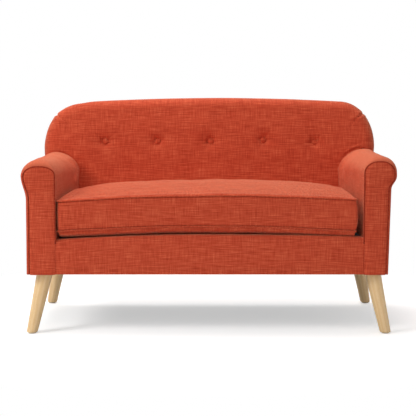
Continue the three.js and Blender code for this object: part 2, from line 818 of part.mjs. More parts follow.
// The back's soft parts: foam, the cover over it with its sides, and the covered buttons.
const domeShares = [0.8, 0.5];
function backUpholstery() {
  const armRear = armInnerAt(rearFoot);
  const hollow = armBody(lap, 0, rearFoot + 2 * overrun, baseBottom - overrun, 4);
  const reach = box([0, 0, 0], [railOuter, overallDepth, backHeight + baseBottom]);
  const passage = common(hollow, reach);
  const under = armInnerAt(0) + lap;
  const deckGrid = (top) =>
    [0, rearFoot + overrun].map((y) =>
      Array.from({ length: deckStations }, (_, i) => {
        const x = THREE.MathUtils.lerp(-under, under, i / (deckStations - 1));
        return [x, y, top(x)];
      }),
    );
  const overDeck = block(
    deckGrid((x) => deckTop(x) + cushionRest),
    deckGrid(() => baseBottom - 2 * overrun),
  );
  const below = box(
    [-2 * backHalfWidth, -overallDepth, -overrun],
    [2 * backHalfWidth, overallDepth, baseBottom],
  );
  const holes = buttonPlaces.map((x) =>
    backBar(x, buttonHeight, twineDiameter / 2 + clearance, -overrun, backFootThickness + overrun, 8),
  );
  const tools = [passage, handed(passage, -1), overDeck, below, ...holes];
  const cover = cut(backBody(0, lap), backBody(fabric, -overrun), ...tools);
  piece("back_cover", cover, coverCloth);

  const wing = box([armRear + lap, 0, 0], [2 * backHalfWidth, overallDepth, armRollZ]);
  const padding = backBody(lap, webbingFront + clearance);
  piece("back_foam", cut(padding, ...tools, wing, handed(wing, -1)), foam);

  const seat = backThickness(buttonHeight) - tuftDepth + clearance;
  const radius = buttonDiameter / 2;
  const crown = buttonDome - buttonRim;
  const profile = [
    [0, seat],
    [radius, seat],
    [radius, seat + buttonRim],
    ...domeShares.map((share) => [radius * share, seat + buttonRim + crown * (1 - share ** 2)]),
    [0, seat + buttonDome],
  ];
  buttonPlaces.forEach((x, i) => {
    const dome = new THREE.LatheGeometry(
      profile.map(([r, t]) => new THREE.Vector2(r, t)),
      12,
    );
    dome.rotateX(Math.PI - rake).translate(...onBack(x, buttonHeight, 0));
    const twine = backBar(
      x,
      buttonHeight,
      twineDiameter / 2,
      webbingFront + clearance,
      seat + buttonRim,
      6,
    );
    piece(`back_button_${i + 1}`, joined(dome, twine), coverCloth);
  });
}

// A flat board from its outline as points across and up, between two depths towards the front.
function board(outline, near, far) {
  const shape = new THREE.Shape(outline.map(([x, h]) => new THREE.Vector2(x, h)));
  const made = new THREE.ExtrudeGeometry(shape, { depth: far - near, bevelEnabled: false });
  return made.rotateX(Math.PI / 2).translate(0, -near, 0);
}

// The back's frame, webbing and outer panel lie in a group that leans with the rake.
function backFrame() {
  const group = new THREE.Group();
  group.position.set(0, rearFoot, baseBottom);
  group.rotation.x = -rake;
  settee.add(group);
  const foot = (railBottom - baseBottom + clearance) / rakeCos;
  piece("back_outer_panel", board(wholeOutline(0), 0, fabric), coverCloth, group);
  for (const [hand, side] of [["left", -1], ["right", 1]]) {
    const outline = [
      [side * railInner, foot],
      [side * railOuter, foot],
      [side * railOuter, postHeight],
      [side * railInner, postHeight],
    ];
    piece(`back_post_${hand}`, board(outline, lap, boardFront), plywood, group);
  }
  const rowHalf = railInner - clearance;
  const tackTop = tackRailFoot + tackRailHeight;
  const tack = [
    [-rowHalf, tackRailFoot],
    [rowHalf, tackRailFoot],
    [rowHalf, tackTop],
    [-rowHalf, tackTop],
  ];
  piece("back_tack_rail", board(tack, lap, boardFront), plywood, group);

  // The outline above the posts, started where it crosses their height.
  const arch = (inset) => {
    const outline = halfOutline(inset);
    const low = postHeight + clearance;
    const next = outline.findIndex(([, h]) => h > low);
    const [[x0, h0], [x1, h1]] = [outline[next - 1], outline[next]];
    const start = [THREE.MathUtils.mapLinear(low, h0, h1, x0, x1), low];
    const half = [start, ...outline.slice(next)];
    return [...half, [0, backTopAt(0, inset)], ...half.map(([x, h]) => [-x, h]).reverse()];
  };
  const rail = [...arch(lap), ...arch(topRailWidth).reverse()];
  piece("back_top_rail", board(rail, lap, boardFront), plywood, group);

  const near = boardFront + clearance;
  const strip = ([x0, h0], [x1, h1]) => box([x0, -near - webbingThickness, h0], [x1, -near, h1]);
  const uprights = Math.floor(cornerStart / webbingPitch);
  const strips = [];
  for (let i = -uprights; i <= uprights; i++) {
    const x = i * webbingPitch;
    const top = backTopAt(Math.abs(x) + webbingWidth / 2, 0) - webbingLap;
    strips.push(strip([x - webbingWidth / 2, tackTop - webbingLap], [x + webbingWidth / 2, top]));
  }
  for (const height of webbingHeights) {
    const half = railOuter - webbingLap / 2;
    strips.push(strip([-half, height], [half, height + webbingWidth]));
  }
  piece("back_webbing", joined(...strips), webbing, group);
}

// The front border wraps over its padding and the front rail, and the deck lies behind it.
function seatDeck(springTop) {
  const front = frontPlane;
  const rear = front + borderReturn;
  const arcSteps = 4;
  const borderProfile = (inset, x, foot, thickness) => {
    const top = deckTop(x) - inset;
    const face = front + inset;
    const radius = borderRadius - inset;
    const arc = (r) =>
      Array.from({ length: arcSteps + 1 }, (_, i) => {
        const angle = (Math.PI / 2) * (i / arcSteps);
        return [face + radius - r * Math.cos(angle), top - radius + r * Math.sin(angle)];
      });
    const outer = [[face, foot], ...arc(radius), [rear, top]];
    const inner = arc(radius - thickness).reverse();
    return [...outer, [rear, top - thickness], ...inner, [face + thickness, foot]];
  };
  const along = (profile) => {
    const rings = Array.from({ length: deckStations }, (_, i) => {
      const share = THREE.MathUtils.lerp(-1, 1, i / (deckStations - 1));
      return profile(share * armInnerFront).map(([y, z]) => [share * (armInnerAt(y) - clearance), y, z]);
    });
    return loft(rings, [1, 2]);
  };
  piece("front_border", along((x) => borderProfile(0, x, baseBottom, fabric)), coverCloth);
  piece("front_padding", along((x) => borderProfile(lap, x, railBottom, borderPadding)), foam);

  const grid = (height) =>
    [rear + clearance, 0, rearRailY].map((y) =>
      Array.from({ length: deckStations }, (_, i) => {
        const reach = armInnerAt(y) - deckSideGap;
        const x = THREE.MathUtils.lerp(-reach, reach, i / (deckStations - 1));
        return [x, y, height(x)];
      }),
    );
  piece("deck_cloth", block(grid(deckTop), grid((x) => deckTop(x) - deckCloth)), blackCloth);
  const padTop = (x) => deckTop(x) - deckCloth - clearance;
  piece("deck_pad", block(grid(padTop), grid(() => springTop + clearance)), foam);

  const edge = box(
    [-railOuter + dustMargin, railFrontY, baseBottom],
    [railOuter - dustMargin, rearRailY + boardThickness, baseBottom + dustCloth],
  );
  const windows = [];
  for (const side of [-1, 1]) {
    for (const y of [frontLegY, rearLegY]) {
      const reach = plateSide / 2 + clearance;
      const low = baseBottom - overrun;
      const x = side * legHalfSpan;
      windows.push(box([x - reach, y - reach, low], [x + reach, y + reach, low + 2 * overrun]));
    }
  }
  piece("dust_cover", cut(edge, ...windows), blackCloth);
}

// The seat cushion lies between the arms and leans against the back's slope.
const acrossShares = [-1, -0.97, -0.9, -0.68, -0.36, 0, 0.36, 0.68, 0.9, 0.97, 1];
const alongShares = [-1, -0.94, -0.8, -0.45, 0, 0.45, 0.8, 0.94, 1];
const borderShares = [0.8, 0.5, 0.2];

// Where a share across and a share back fall on the cushion, at a height and drawn in by an inset.
function cushionPlan(across, along, z, inset, swell = 0) {
  const depthShare = (along + 1) / 2;
  const rear = backFrontY(z) - cushionBackGap;
  const width = THREE.MathUtils.lerp(cushionHalfFront, cushionHalfRear, depthShare) - inset;
  const isCorner = Math.abs(across) === 1 && Math.abs(along) === 1;
  const pull = isCorner ? cushionCorner * (1 - Math.SQRT1_2) : 0;
  const sideDraw = (1 - along ** 2) * cushionPullIn;
  const frontDraw = (1 - across ** 2) * cushionPullIn;
  const x = across * (width - sideDraw * across ** 2 - pull + swell * (Math.abs(across) === 1 ? 1 : 0));
  const front = cushionFrontY + inset + frontDraw + (along === -1 ? pull - swell : 0);
  const back = rear - inset - (along === 1 ? pull : 0);
  return [x, THREE.MathUtils.lerp(front, back, depthShare)];
}

function cushionSeam(across, low) {
  return (low ? cushionLowSeam : cushionTopSeam) + cushionArch * (1 - across ** 2);
}

function cushionBody(inset) {
  const puff = (across, along, power) => ((1 - across ** 2) * (1 - along ** 2)) ** power;
  const face = (heightAt) =>
    alongShares.map((along) =>
      acrossShares.map((across) => {
        const z = heightAt(across, along);
        const [x, y] = cushionPlan(across, along, z, inset);
        return [x, y, z];
      }),
    );
  const top = face((across, along) => {
    const rise = cushionCrown * puff(across, along, cushionTopPower);
    return cushionSeam(across, false) + rise - inset;
  });
  const bottom = face((across, along) => {
    const x = cushionPlan(across, along, cushionLowSeam, inset)[0];
    const floor = deckTop(x) + cushionRest;
    const drop = cushionSag * puff(across, along, cushionBottomPower);
    return Math.max(floor, cushionSeam(across, true) - drop) + inset;
  });
  const rim = rimOf(alongShares.length, acrossShares.length);
  const border = borderShares.map((share) =>
    rim.map(([i, j]) => {
      const [across, along] = [acrossShares[j], alongShares[i]];
      const low = cushionSeam(across, true) + inset;
      const z = THREE.MathUtils.lerp(low, cushionSeam(across, false) - inset, share);
      const swell = cushionBulge * 4 * share * (1 - share);
      const [x, y] = cushionPlan(across, along, z, inset, swell);
      return [x, y, z];
    }),
  );
  return block(top, bottom, border);
}

// The piping follows a seam, just outside the edge where the border meets the face.
function cushionPiping(low) {
  const rim = rimOf(alongShares.length, acrossShares.length);
  const course = rim.map(([i, j]) => {
    const [across, along] = [acrossShares[j], alongShares[i]];
    const z = cushionSeam(across, low);
    const [x, y] = cushionPlan(across, along, z, -pipingOffset);
    return [x, y, z + (low ? -pipingOffset : pipingOffset)];
  });
  return cordThrough(course, pipingRadius, 6, true);
}

function cushion() {
  const zipZ = (cushionLowSeam + cushionTopSeam + cushionArch) / 2;
  const slope = backFrontY(zipZ + 1) - backFrontY(zipZ);
  const lean = Math.atan(slope);
  const faceY = backFrontY(zipZ) - cushionBackGap;
  const group = new THREE.Group();
  group.position.set(0, faceY, zipZ);
  group.rotation.x = -lean;
  settee.add(group);
  const halfTape = zipTapeWidth / 2;
  const reach = zipHalfLength + zipEndStop;
  const slot = box(
    [-reach - clearance, -zipTapeThickness - 2 * clearance - overrun, -halfTape - clearance],
    [reach + clearance, overrun, halfTape + clearance],
  );
  slot.applyMatrix4(new THREE.Matrix4().makeRotationX(-lean)).translate(0, faceY, zipZ);
  piece("cushion_cover", cut(cushionBody(0), cushionBody(fabric), slot), coverCloth);
  piece("cushion_foam", cushionBody(cushionPadInset), foam);
  piece("cushion_piping_top", cushionPiping(false), coverCloth);
  piece("cushion_piping_bottom", cushionPiping(true), coverCloth);

  const tape = box([-reach, -zipTapeThickness - clearance, -halfTape], [reach, -clearance, halfTape]);
  const chainHalf = zipChainWidth / 2;
  const chain = box(
    [-reach, -clearance - zipTapeThickness / 2, -chainHalf],
    [reach, zipChainProud, chainHalf],
  );
  piece("cushion_zip", joined(tape, chain), blackCloth, group);
  const sliderMesh = piece("zip_slider", zipSlider(), steel, group);
  sliderMesh.position.x = zipHalfLength - zipSliderLength;
}

// The slider's body narrows to its rear, and its pull tab hangs from a bridge on the body.
function zipSlider() {
  const half = zipSliderLength / 2;
  const wide = zipSliderWidth / 2;
  const neck = zipSliderNeck / 2;
  const low = zipChainProud + clearance;
  const face = low + zipSliderWall;
  const top = face + zipBridgeHeight;
  const body = board(
    [
      [-half, -wide],
      [0, -wide],
      [half, -neck],
      [half, neck],
      [0, wide],
      [-half, wide],
    ],
    -face,
    -low,
  );
  const bridge = box(
    [-half + zipBridgeWidth, low, -zipBridgeWidth / 2],
    [half - zipBridgeWidth, top, zipBridgeWidth / 2],
  );
  const corner = zipPullWidth / 2;
  const pull = board(
    [
      [-corner, zipBridgeWidth],
      [-corner, corner - zipPullLength],
      [0, -zipPullLength],
      [corner, corner - zipPullLength],
      [corner, zipBridgeWidth],
    ],
    -top - zipPullThickness / 2,
    -top + zipPullThickness / 2,
  );
  const hole = board(
    [
      [-zipPullHole / 2, corner - zipPullLength],
      [0, corner - zipPullLength - zipPullHole / 2],
      [zipPullHole / 2, corner - zipPullLength],
      [0, corner - zipPullLength + zipPullHole / 2],
    ],
    -top - zipPullThickness,
    -top + zipPullThickness,
  );
  return cut(joined(body, bridge, pull), hole);
}

legs();
seatFrame();
seatDeck(springs());
arms();
backFrame();
backUpholstery();
cushion();

export default settee;
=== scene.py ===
import math

import bmesh
import bpy
import mathutils
import numpy as np
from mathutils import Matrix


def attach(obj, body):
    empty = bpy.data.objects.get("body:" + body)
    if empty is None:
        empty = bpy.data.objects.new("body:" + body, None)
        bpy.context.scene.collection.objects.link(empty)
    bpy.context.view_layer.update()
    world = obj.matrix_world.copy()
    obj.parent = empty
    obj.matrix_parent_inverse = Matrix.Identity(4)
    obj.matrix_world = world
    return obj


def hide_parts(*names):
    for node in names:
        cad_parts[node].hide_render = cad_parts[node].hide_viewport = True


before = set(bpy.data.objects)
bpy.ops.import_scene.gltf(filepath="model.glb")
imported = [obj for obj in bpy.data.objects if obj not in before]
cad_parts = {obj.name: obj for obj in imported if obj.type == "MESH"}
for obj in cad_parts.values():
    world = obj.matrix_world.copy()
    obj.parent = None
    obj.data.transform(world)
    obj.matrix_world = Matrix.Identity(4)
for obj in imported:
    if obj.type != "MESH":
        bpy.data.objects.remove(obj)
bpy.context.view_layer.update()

# Legs.
# Four tapered legs of pale beech, turned on a lathe, sanded and lacquered clear.
# Each is sawn level at both ends, so that it stands splayed, and screws up into a steel plate.


class Socket:
    """An output in a material's nodes, which adds Math nodes when it is worked with as a number."""

    def __init__(self, finish, output):
        self.finish, self.output = finish, output

    def math(self, operation, *values):
        places = dict(enumerate(values))
        return self.finish.node("ShaderNodeMath", {"operation": operation}, places)

    def __add__(self, other):
        return self.math("ADD", self, other)

    def __radd__(self, other):
        return self.math("ADD", other, self)

    def __sub__(self, other):
        return self.math("SUBTRACT", self, other)

    def __rsub__(self, other):
        return self.math("SUBTRACT", other, self)

    def __mul__(self, other):
        return self.math("MULTIPLY", self, other)

    def __rmul__(self, other):
        return self.math("MULTIPLY", other, self)

    def __truediv__(self, other):
        return self.math("DIVIDE", self, other)

    def __pow__(self, other):
        return self.math("POWER", self, other)

    def __gt__(self, other):
        return self.math("GREATER_THAN", self, other)

    def __abs__(self):
        return self.math("ABSOLUTE", self)

    def sine(self):
        return self.math("SINE", self)

    def part(self, output):
        """Another output of the same node."""
        return Socket(self.finish, self.output.node.outputs[output])


class Finish:
    """A procedural material, from its nodes' links and values."""

    def __init__(self, name):
        self.material = bpy.data.materials.new(name)
        self.material.use_nodes = True
        self.tree = self.material.node_tree
        self.tree.nodes.clear()

    @classmethod
    def on(cls, tree):
        """The same for a tree of nodes that isn't a material's."""
        made = cls.__new__(cls)
        made.tree = tree
        return made

    def node(self, kind, settings=None, inputs=None, output=0):
        """Adds a node: its settings first, then the links or values of its sockets."""
        made = self.tree.nodes.new(kind)
        for key, value in (settings or {}).items():
            setattr(made, key, value)
        for key, value in (inputs or {}).items():
            if isinstance(value, Socket):
                self.tree.links.new(value.output, made.inputs[key])
            else:
                made.inputs[key].default_value = value
        return None if output is None else Socket(self, made.outputs[output])

    def place(self, across, along, depth=0.0):
        return self.node("ShaderNodeCombineXYZ", None, {0: across, 1: along, 2: depth})

    def noise(self, place, detail=2.0, roughness=0.5):
        """Noise around 0.5, whose grain is one unit of the place that it is given."""
        sockets = {"Vector": place, "Scale": 1.0, "Detail": detail, "Roughness": roughness}
        return self.node("ShaderNodeTexNoise", None, sockets)

    def blend(self, share, first, second):
        """A colour between two, by a share from 0 to 1."""
        settings = {"data_type": "RGBA", "clamp_factor": True}
        return self.node("ShaderNodeMix", settings, {0: share, 6: first, 7: second}, 2)

    def shell(self, colour, height=None, rise=0.001, **sockets):
        """Ends the material: a colour, a bump height in metres when it is multiplied by rise."""
        inputs = {"Base Color": colour}
        inputs.update({key.replace("_", " "): value for key, value in sockets.items()})
        if height is not None:
            bump = {"Height": height, "Distance": rise, "Strength": 1.0}
            inputs["Normal"] = self.node("ShaderNodeBump", None, bump)
        body = self.node("ShaderNodeBsdfPrincipled", None, inputs)
        self.node("ShaderNodeOutputMaterial", None, {0: body}, None)
        return self.material


def surface(name, points, finish, cloth=None, around=False, turned=False, body="frame"):
    """A piece whose skin is a grid of points, in rows and columns.

    around joins each row's end to its start, and turned makes the other side the outer one.
    cloth gives each point its place on the flat cloth or blank, in metres, as a UV map.
    """
    rows, columns = points.shape[:2]
    across = columns if around else columns - 1
    row, column = np.meshgrid(np.arange(rows - 1), np.arange(across), indexing="ij")
    beside = (column + 1) % columns
    corners = [row * columns + column, row * columns + beside]
    corners += [corners[1] + columns, corners[0] + columns]
    faces = np.stack(corners[::-1] if turned else corners, -1).reshape(-1, 4)
    mesh = bpy.data.meshes.new(name)
    mesh.from_pydata(points.reshape(-1, 3).tolist(), [], faces.tolist())
    if cloth is not None:
        wide = np.concatenate([cloth, cloth[:, :1]], 1) if around and cloth.shape[1] == columns else cloth
        step = wide.shape[1]
        places = [row * step + column, row * step + column + 1]
        places += [places[1] + step, places[0] + step]
        order = np.stack(places[::-1] if turned else places, -1).reshape(-1)
        layer = mesh.uv_layers.new(name="cloth")
        layer.data.foreach_set("uv", wide.reshape(-1, 2)[order].astype(np.float32).ravel())
    mesh.polygons.foreach_set("use_smooth", np.ones(len(faces), bool))
    mesh.update()
    made = bpy.data.objects.new(name, mesh)
    bpy.context.scene.collection.objects.link(made)
    made.data.materials.append(finish)
    if body:
        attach(made, body)
    return made


def smooth(low, high, value):
    """0 below low, 1 above high, and an even S between them."""
    share = np.clip((value - low) / (high - low), 0, 1)
    return share * share * (3 - 2 * share)


def beech(name, colour, pale, dark, lacquer):
    """Lengthwise fibres and short dark flecks. The UV map runs round the blank and along it."""
    finish = Finish(name)
    grain = finish.node("ShaderNodeUVMap", {"uv_map": "cloth"})
    across = finish.node("ShaderNodeSeparateXYZ", None, {0: grain})
    along = across.part(1)
    drift = finish.noise(finish.place(across * 60, along * 5), 3.0) - 0.5
    rings = (across * 420 + drift * 9).sine() * 0.5 + 0.5
    fibre = finish.noise(finish.place(across * 1500, along * 28), 3.0, 0.6)
    fleck = finish.noise(finish.place(across * 900, along * 110), 1.0) > 0.66
    tone = finish.blend(rings * 0.4 + fibre * 0.55, (*pale, 1), (*colour, 1))
    shade = finish.blend(fleck * 0.28 + drift * 0.5, tone, (*dark, 1))
    wear_and_painted_highlight = fibre * 0.12 + (lacquer - 0.06)
    return finish.shell(shade, fibre - fleck * 0.4, 0.00012, Roughness=wear_and_painted_highlight)


HANDS = [("left", -1), ("right", 1)]
LEG_X, LEG_Y = 0.571, {"front": -0.308, "rear": 0.200}
LEG_TOP, LEG_MIDDLE, LEG_FOOT = 0.056, 0.046, 0.037
LEG_SPLAY, GLIDE_LIFT, LEG_REACH, LEG_EDGE = 0.042, 0.004, 0.202, 0.0028
LEG_SIDES, LEG_ROWS, EDGE_STEPS, END_RINGS, SOLE_SHARE = 56, 40, 6, np.array([0.6, 0.25, 0.001]), 0.92
leg_wood = beech("leg_beech", (0.77, 0.49, 0.215), (0.90, 0.67, 0.385), (0.42, 0.215, 0.075), 0.42)


def turned_leg(x, y, side, way):
    """A cone round a leaning axis, cut level. A level slice of it is an ellipse along the lean.

    The foot's edge is sanded to a quarter circle. Smaller and smaller rings close both ends.
    """
    turn = np.linspace(0, 2 * math.pi, LEG_SIDES + 1)[:-1]
    share = np.linspace(0, 1, LEG_ROWS)
    bend = np.linspace(0, math.pi / 2, EDGE_STEPS)
    foot_in, foot_up = LEG_EDGE * (1 - np.sin(bend)), LEG_EDGE * (1 - np.cos(bend))
    radius = (LEG_FOOT + (LEG_TOP - LEG_FOOT) * share) / 2
    level = share * LEG_REACH
    sole, top = radius[0] * END_RINGS[::-1] * SOLE_SHARE, radius[-1] * END_RINGS
    radius = np.concatenate([sole, radius[0] - foot_in, radius[1:], top])
    level = np.concatenate([0 * sole, foot_up, level[1:], LEG_REACH + 0 * top])
    radius, level = radius[:, None], level[:, None]
    rise = level / LEG_REACH
    lean = math.hypot(1, math.sqrt(2) * LEG_SPLAY / LEG_REACH)
    down, out = np.array([side, way]) / math.sqrt(2), np.array([-way, side]) / math.sqrt(2)
    centre = np.stack([x + side * LEG_SPLAY * (1 - rise), y + way * LEG_SPLAY * (1 - rise)], -1)
    ring = np.cos(turn)[None, :, None] * down * lean + np.sin(turn)[None, :, None] * out
    plan = centre + radius[..., None] * ring
    points = np.concatenate([plan, np.broadcast_to(level + GLIDE_LIFT, plan.shape[:2])[..., None]], -1)
    girth = np.linspace(0, math.pi * LEG_MIDDLE, LEG_SIDES + 1)
    own_grain = side * 0.37 + way * 0.11
    cloth = np.stack(np.broadcast_arrays(girth + own_grain, level), -1)
    return points, cloth, side * way < 0


for row, way in [("front", -1), ("rear", 1)]:
    for hand, side in HANDS:
        points, cloth, turned = turned_leg(side * LEG_X, LEG_Y[row], side, way)
        leg = surface(f"turned_leg_{row}_{hand}", points, leg_wood, cloth, True, turned)
        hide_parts(f"leg_{row}_{hand}")

# Hanger bolts.
# A zinc-plated steel bolt stands up out of each leg and screws into its plate.
# Its thread is rolled, 1.25 mm from crest to crest.


def metal(name, colour, roughness, scratch):
    """Plated or bare steel: faint brushed scratches and cloudy dull patches."""
    finish = Finish(name)
    place = finish.node("ShaderNodeTexCoord").part("Object")
    parts = finish.node("ShaderNodeSeparateXYZ", None, {0: place})
    cloud = finish.noise(finish.place(parts * 90, parts.part(1) * 90, parts.part(2) * 90), 3.0)
    brushed = finish.noise(finish.place(parts * 60, parts.part(1) * 2600, parts.part(2) * 2600), 1.0)
    dull = tuple(channel * 0.62 for channel in colour)
    tone = finish.blend(cloud * 0.9 - 0.1, (*colour, 1), (*dull, 1))
    wear_and_painted_highlight = cloud * 0.22 + brushed * scratch + (roughness - 0.15)
    return finish.shell(tone, brushed, 0.00004, Roughness=wear_and_painted_highlight, Metallic=1.0)


zinc = metal("zinc_plate", (0.56, 0.57, 0.58), 0.42, 0.1)
BOLT_RADIUS, BOLT_REACH, BOLT_FOOT, THREAD, THREAD_DEPTH = 0.004, 0.034, 0.206, 0.00125, 0.00035
BOLT_SIDES, BOLT_ROWS, BOLT_POINT, BOLT_TIP = 16, 109, 0.002, 0.0002

turn = np.linspace(0, 2 * math.pi, BOLT_SIDES + 1)[:-1]
height = np.linspace(0, BOLT_REACH, BOLT_ROWS)[:, None]
crest = THREAD_DEPTH * np.cos(2 * math.pi * height / THREAD - turn)
taper = np.minimum(1, (BOLT_REACH - height + BOLT_TIP) / BOLT_POINT)
radius = (BOLT_RADIUS - THREAD_DEPTH + crest) * taper
thread = np.stack([radius * np.cos(turn), radius * np.sin(turn), BOLT_FOOT + height + 0 * turn], -1)
for row, y in LEG_Y.items():
    for hand, side in HANDS:
        bolt = surface(f"hanger_bolt_{row}_{hand}", thread + [side * LEG_X, y, 0], zinc, None, True)

# Timber frame.
# Plywood and pine boards, glued and screwed. All of it is inside the covers once the settee is made.
# Sawn faces stay rough, and show long fibres and a few plies.


def rough_board(name, colour, dark):
    """Rough sawn board on Object coordinates, its fibres along X."""
    finish = Finish(name)
    place = finish.node("ShaderNodeTexCoord").part("Object")
    x = finish.node("ShaderNodeSeparateXYZ", None, {0: place})
    y, z = x.part(1), x.part(2)
    drift = finish.noise(finish.place(x * 3, y * 22, z * 22), 2.0) - 0.5
    fibre = finish.noise(finish.place(x * 26, y * 900, z * 900), 3.0, 0.6)
    ring = (z * 520 + y * 340 + drift * 14).sine() * 0.5 + 0.5
    tone = finish.blend(ring * 0.35 + fibre * 0.5, (*colour, 1), (*dark, 1))
    return finish.shell(tone, fibre, 0.0004, Roughness=fibre * 0.15 + 0.68)


sawn = rough_board("sawn_board", (0.58, 0.40, 0.21), (0.36, 0.21, 0.09))
corners = [f"{row}_{hand}" for row in LEG_Y for hand, side in HANDS]
wooden = ["front_rail", "rear_rail", "centre_beam", "back_top_rail", "back_tack_rail"]
wooden += [f"corner_block_{corner}" for corner in corners]
for hand, side in HANDS:
    wooden += [f"{board}_{hand}" for board in ("side_rail", "arm_front_post", "arm_top_rail", "back_post")]


def refinish(names, finish):
    """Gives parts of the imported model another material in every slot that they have."""
    for name in names:
        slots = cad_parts[name].material_slots
        for slot in slots:
            slot.material = finish
        if not slots:
            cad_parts[name].data.materials.append(finish)


refinish(wooden, sawn)

# Plates, springs, glides and webbing.
# Pressed steel plates and clip rails, hard-drawn spring wire, and moulded nylon glides.
# The back's webbing is jute and rubber, woven flat and tacked to the frame.
refinish([f"leg_plate_{corner}" for corner in corners], zinc)
refinish(["spring_clip_rail_front", "spring_clip_rail_rear"], zinc)
refinish(["spring_bank"], metal("spring_wire", (0.36, 0.36, 0.37), 0.4, 0.06))

nylon = Finish("moulded_nylon")
place = nylon.node("ShaderNodeTexCoord").part("Object")
scuff = nylon.noise(nylon.node("ShaderNodeVectorMath", {"operation": "SCALE"}, {0: place, 3: 700.0}), 3.0)
tone = nylon.blend(scuff, (0.72, 0.69, 0.61, 1), (0.58, 0.55, 0.47, 1))
refinish([f"leg_glide_{corner}" for corner in corners],
         nylon.shell(tone, scuff, 0.0001, Roughness=scuff * 0.2 + 0.35))


def woven_band(name, colour, dark, pitch):
    """A coarse plain weave on Object coordinates, for webbing and cloth that lies nearly flat."""
    finish = Finish(name)
    place = finish.node("ShaderNodeTexCoord").part("Object")
    x = finish.node("ShaderNodeSeparateXYZ", None, {0: place})
    flat = x.part(1) + x.part(2)
    over = (x * (math.pi / pitch)).sine() * (flat * (math.pi / pitch)).sine()
    streak = finish.noise(finish.place(x * 40, flat * 700), 2.0)
    tone = finish.blend(abs(over) * 0.6 + streak * 0.4, (*dark, 1), (*colour, 1))
    return finish.shell(tone, abs(over) + streak * 0.3, pitch * 0.3, Roughness=streak * 0.1 + 0.82)


refinish(["back_webbing"], woven_band("jute_webbing", (0.16, 0.11, 0.075), (0.07, 0.045, 0.03), 0.0024))

# Seat deck and dust cover.
# A felt pad lies over the springs under black polypropylene cloth, stapled down on the rails.
# A thin black dust cover closes the underside, with a window at each leg plate.
BASE, BACK_REAR, BACK_HEIGHT = 0.206, 0.2562, 0.597
COVER_FOOT = BASE + 0.0004
RAKE = math.radians(10.5)
BACK_THICK, BACK_THINNING = 0.136, 0.032 / BACK_HEIGHT
FRONT, ROLL_Z, ARM_FRONT, ARM_SWELL = -0.3607, 0.529, 0.534, 0.036
DECK_ENDS, DECK_ARCH, DECK_FILL, FILL_START = 0.326, 0.018, 0.009, 0.1


def back_thickness(h):
    """The back thins evenly with the way up its rake."""
    return BACK_THICK - BACK_THINNING * h


def on_back(x, h, t):
    """A point x across, h up the rake and t forward of the back's rear face.

    Up and forward are turned by the rake, as in a rotation about the rear face's foot.
    """
    y = BACK_REAR + h * math.sin(RAKE) - t * math.cos(RAKE)
    return np.stack(np.broadcast_arrays(x, y, BASE + h * math.cos(RAKE) + t * math.sin(RAKE)), -1)


def back_plane(z):
    """How far back the flat part of the back's face lies at a height."""
    slope = math.cos(RAKE) - BACK_THINNING * math.sin(RAKE)
    h = (z - BASE - BACK_THICK * math.sin(RAKE)) / slope
    return BACK_REAR + h * math.sin(RAKE) - back_thickness(h) * math.cos(RAKE)


def arm_share(y):
    """How far along the arm a place lies: 0 at the facing, 1 where the roll meets the back."""
    return (y - FRONT) / (back_plane(ROLL_Z) - FRONT)


def arm_inner(y):
    """The arm's inner face, which swells evenly towards the back."""
    return ARM_FRONT - ARM_SWELL * arm_share(y)


def deck_top(x):
    """The deck's height, a shallow arch from arm to arm, with more padding towards the right end."""
    arch = DECK_ARCH * (1 - (x / ARM_FRONT) ** 2)
    return DECK_ENDS + arch + DECK_FILL * smooth(FILL_START, ARM_FRONT, x)


rng = np.random.default_rng(41)
WAVES = rng.normal(size=(24, 3)), rng.uniform(0, 2 * math.pi, 24)


def ripple(points, length, stretch=(1, 1, 1)):
    """Smooth noise near -1 to 1: the mean of sine waves whose length is about the one given."""
    ways, starts = WAVES
    wave = points @ (ways * np.array(stretch) / length * 3.2).T
    return np.sin(wave + starts).sum(-1) / 5


def flat_lengths(points):
    """Each point's place on the flat cloth: the mean lengths run along the columns and the rows."""
    across = np.linalg.norm(np.diff(points, axis=1), axis=-1).mean(0)
    along = np.linalg.norm(np.diff(points, axis=0), axis=-1).mean(1)
    u = np.concatenate([[0], np.cumsum(across)])
    v = np.concatenate([[0], np.cumsum(along)])
    return np.stack(np.meshgrid(u, v), -1)


def weld(made, reach=0.00002):
    """Joins points that lie on each other, which closes the skin, and turns its faces outwards."""
    shape = bmesh.new()
    shape.from_mesh(made.data)
    bmesh.ops.remove_doubles(shape, verts=shape.verts, dist=reach)
    bmesh.ops.dissolve_degenerate(shape, edges=shape.edges, dist=reach / 2)
    bmesh.ops.recalc_face_normals(shape, faces=shape.faces)
    shape.to_mesh(made.data)
    shape.free()
    return made


def pad(name, top, bottom, finish, rim=3, body="frame"):
    """A closed pad between two grids, as one skin that wraps round its edges.

    Its rows run over the top and back under the bottom, and fold shut at the first and last column.
    """
    middle = (top + bottom) / 2
    skin = np.concatenate([top, bottom[::-1], top[:1]])
    fold = np.concatenate([middle, middle[::-1], middle[:1]])
    share = np.linspace(1, 0, rim + 1)[None, :-1, None]
    left = skin[:, :1] * (1 - share) + fold[:, :1] * share
    right = skin[:, -1:] * (1 - share) + fold[:, -1:] * share
    points = np.concatenate([left, skin, right[:, ::-1]], 1)
    return weld(surface(name, points, finish, flat_lengths(points), body=body))


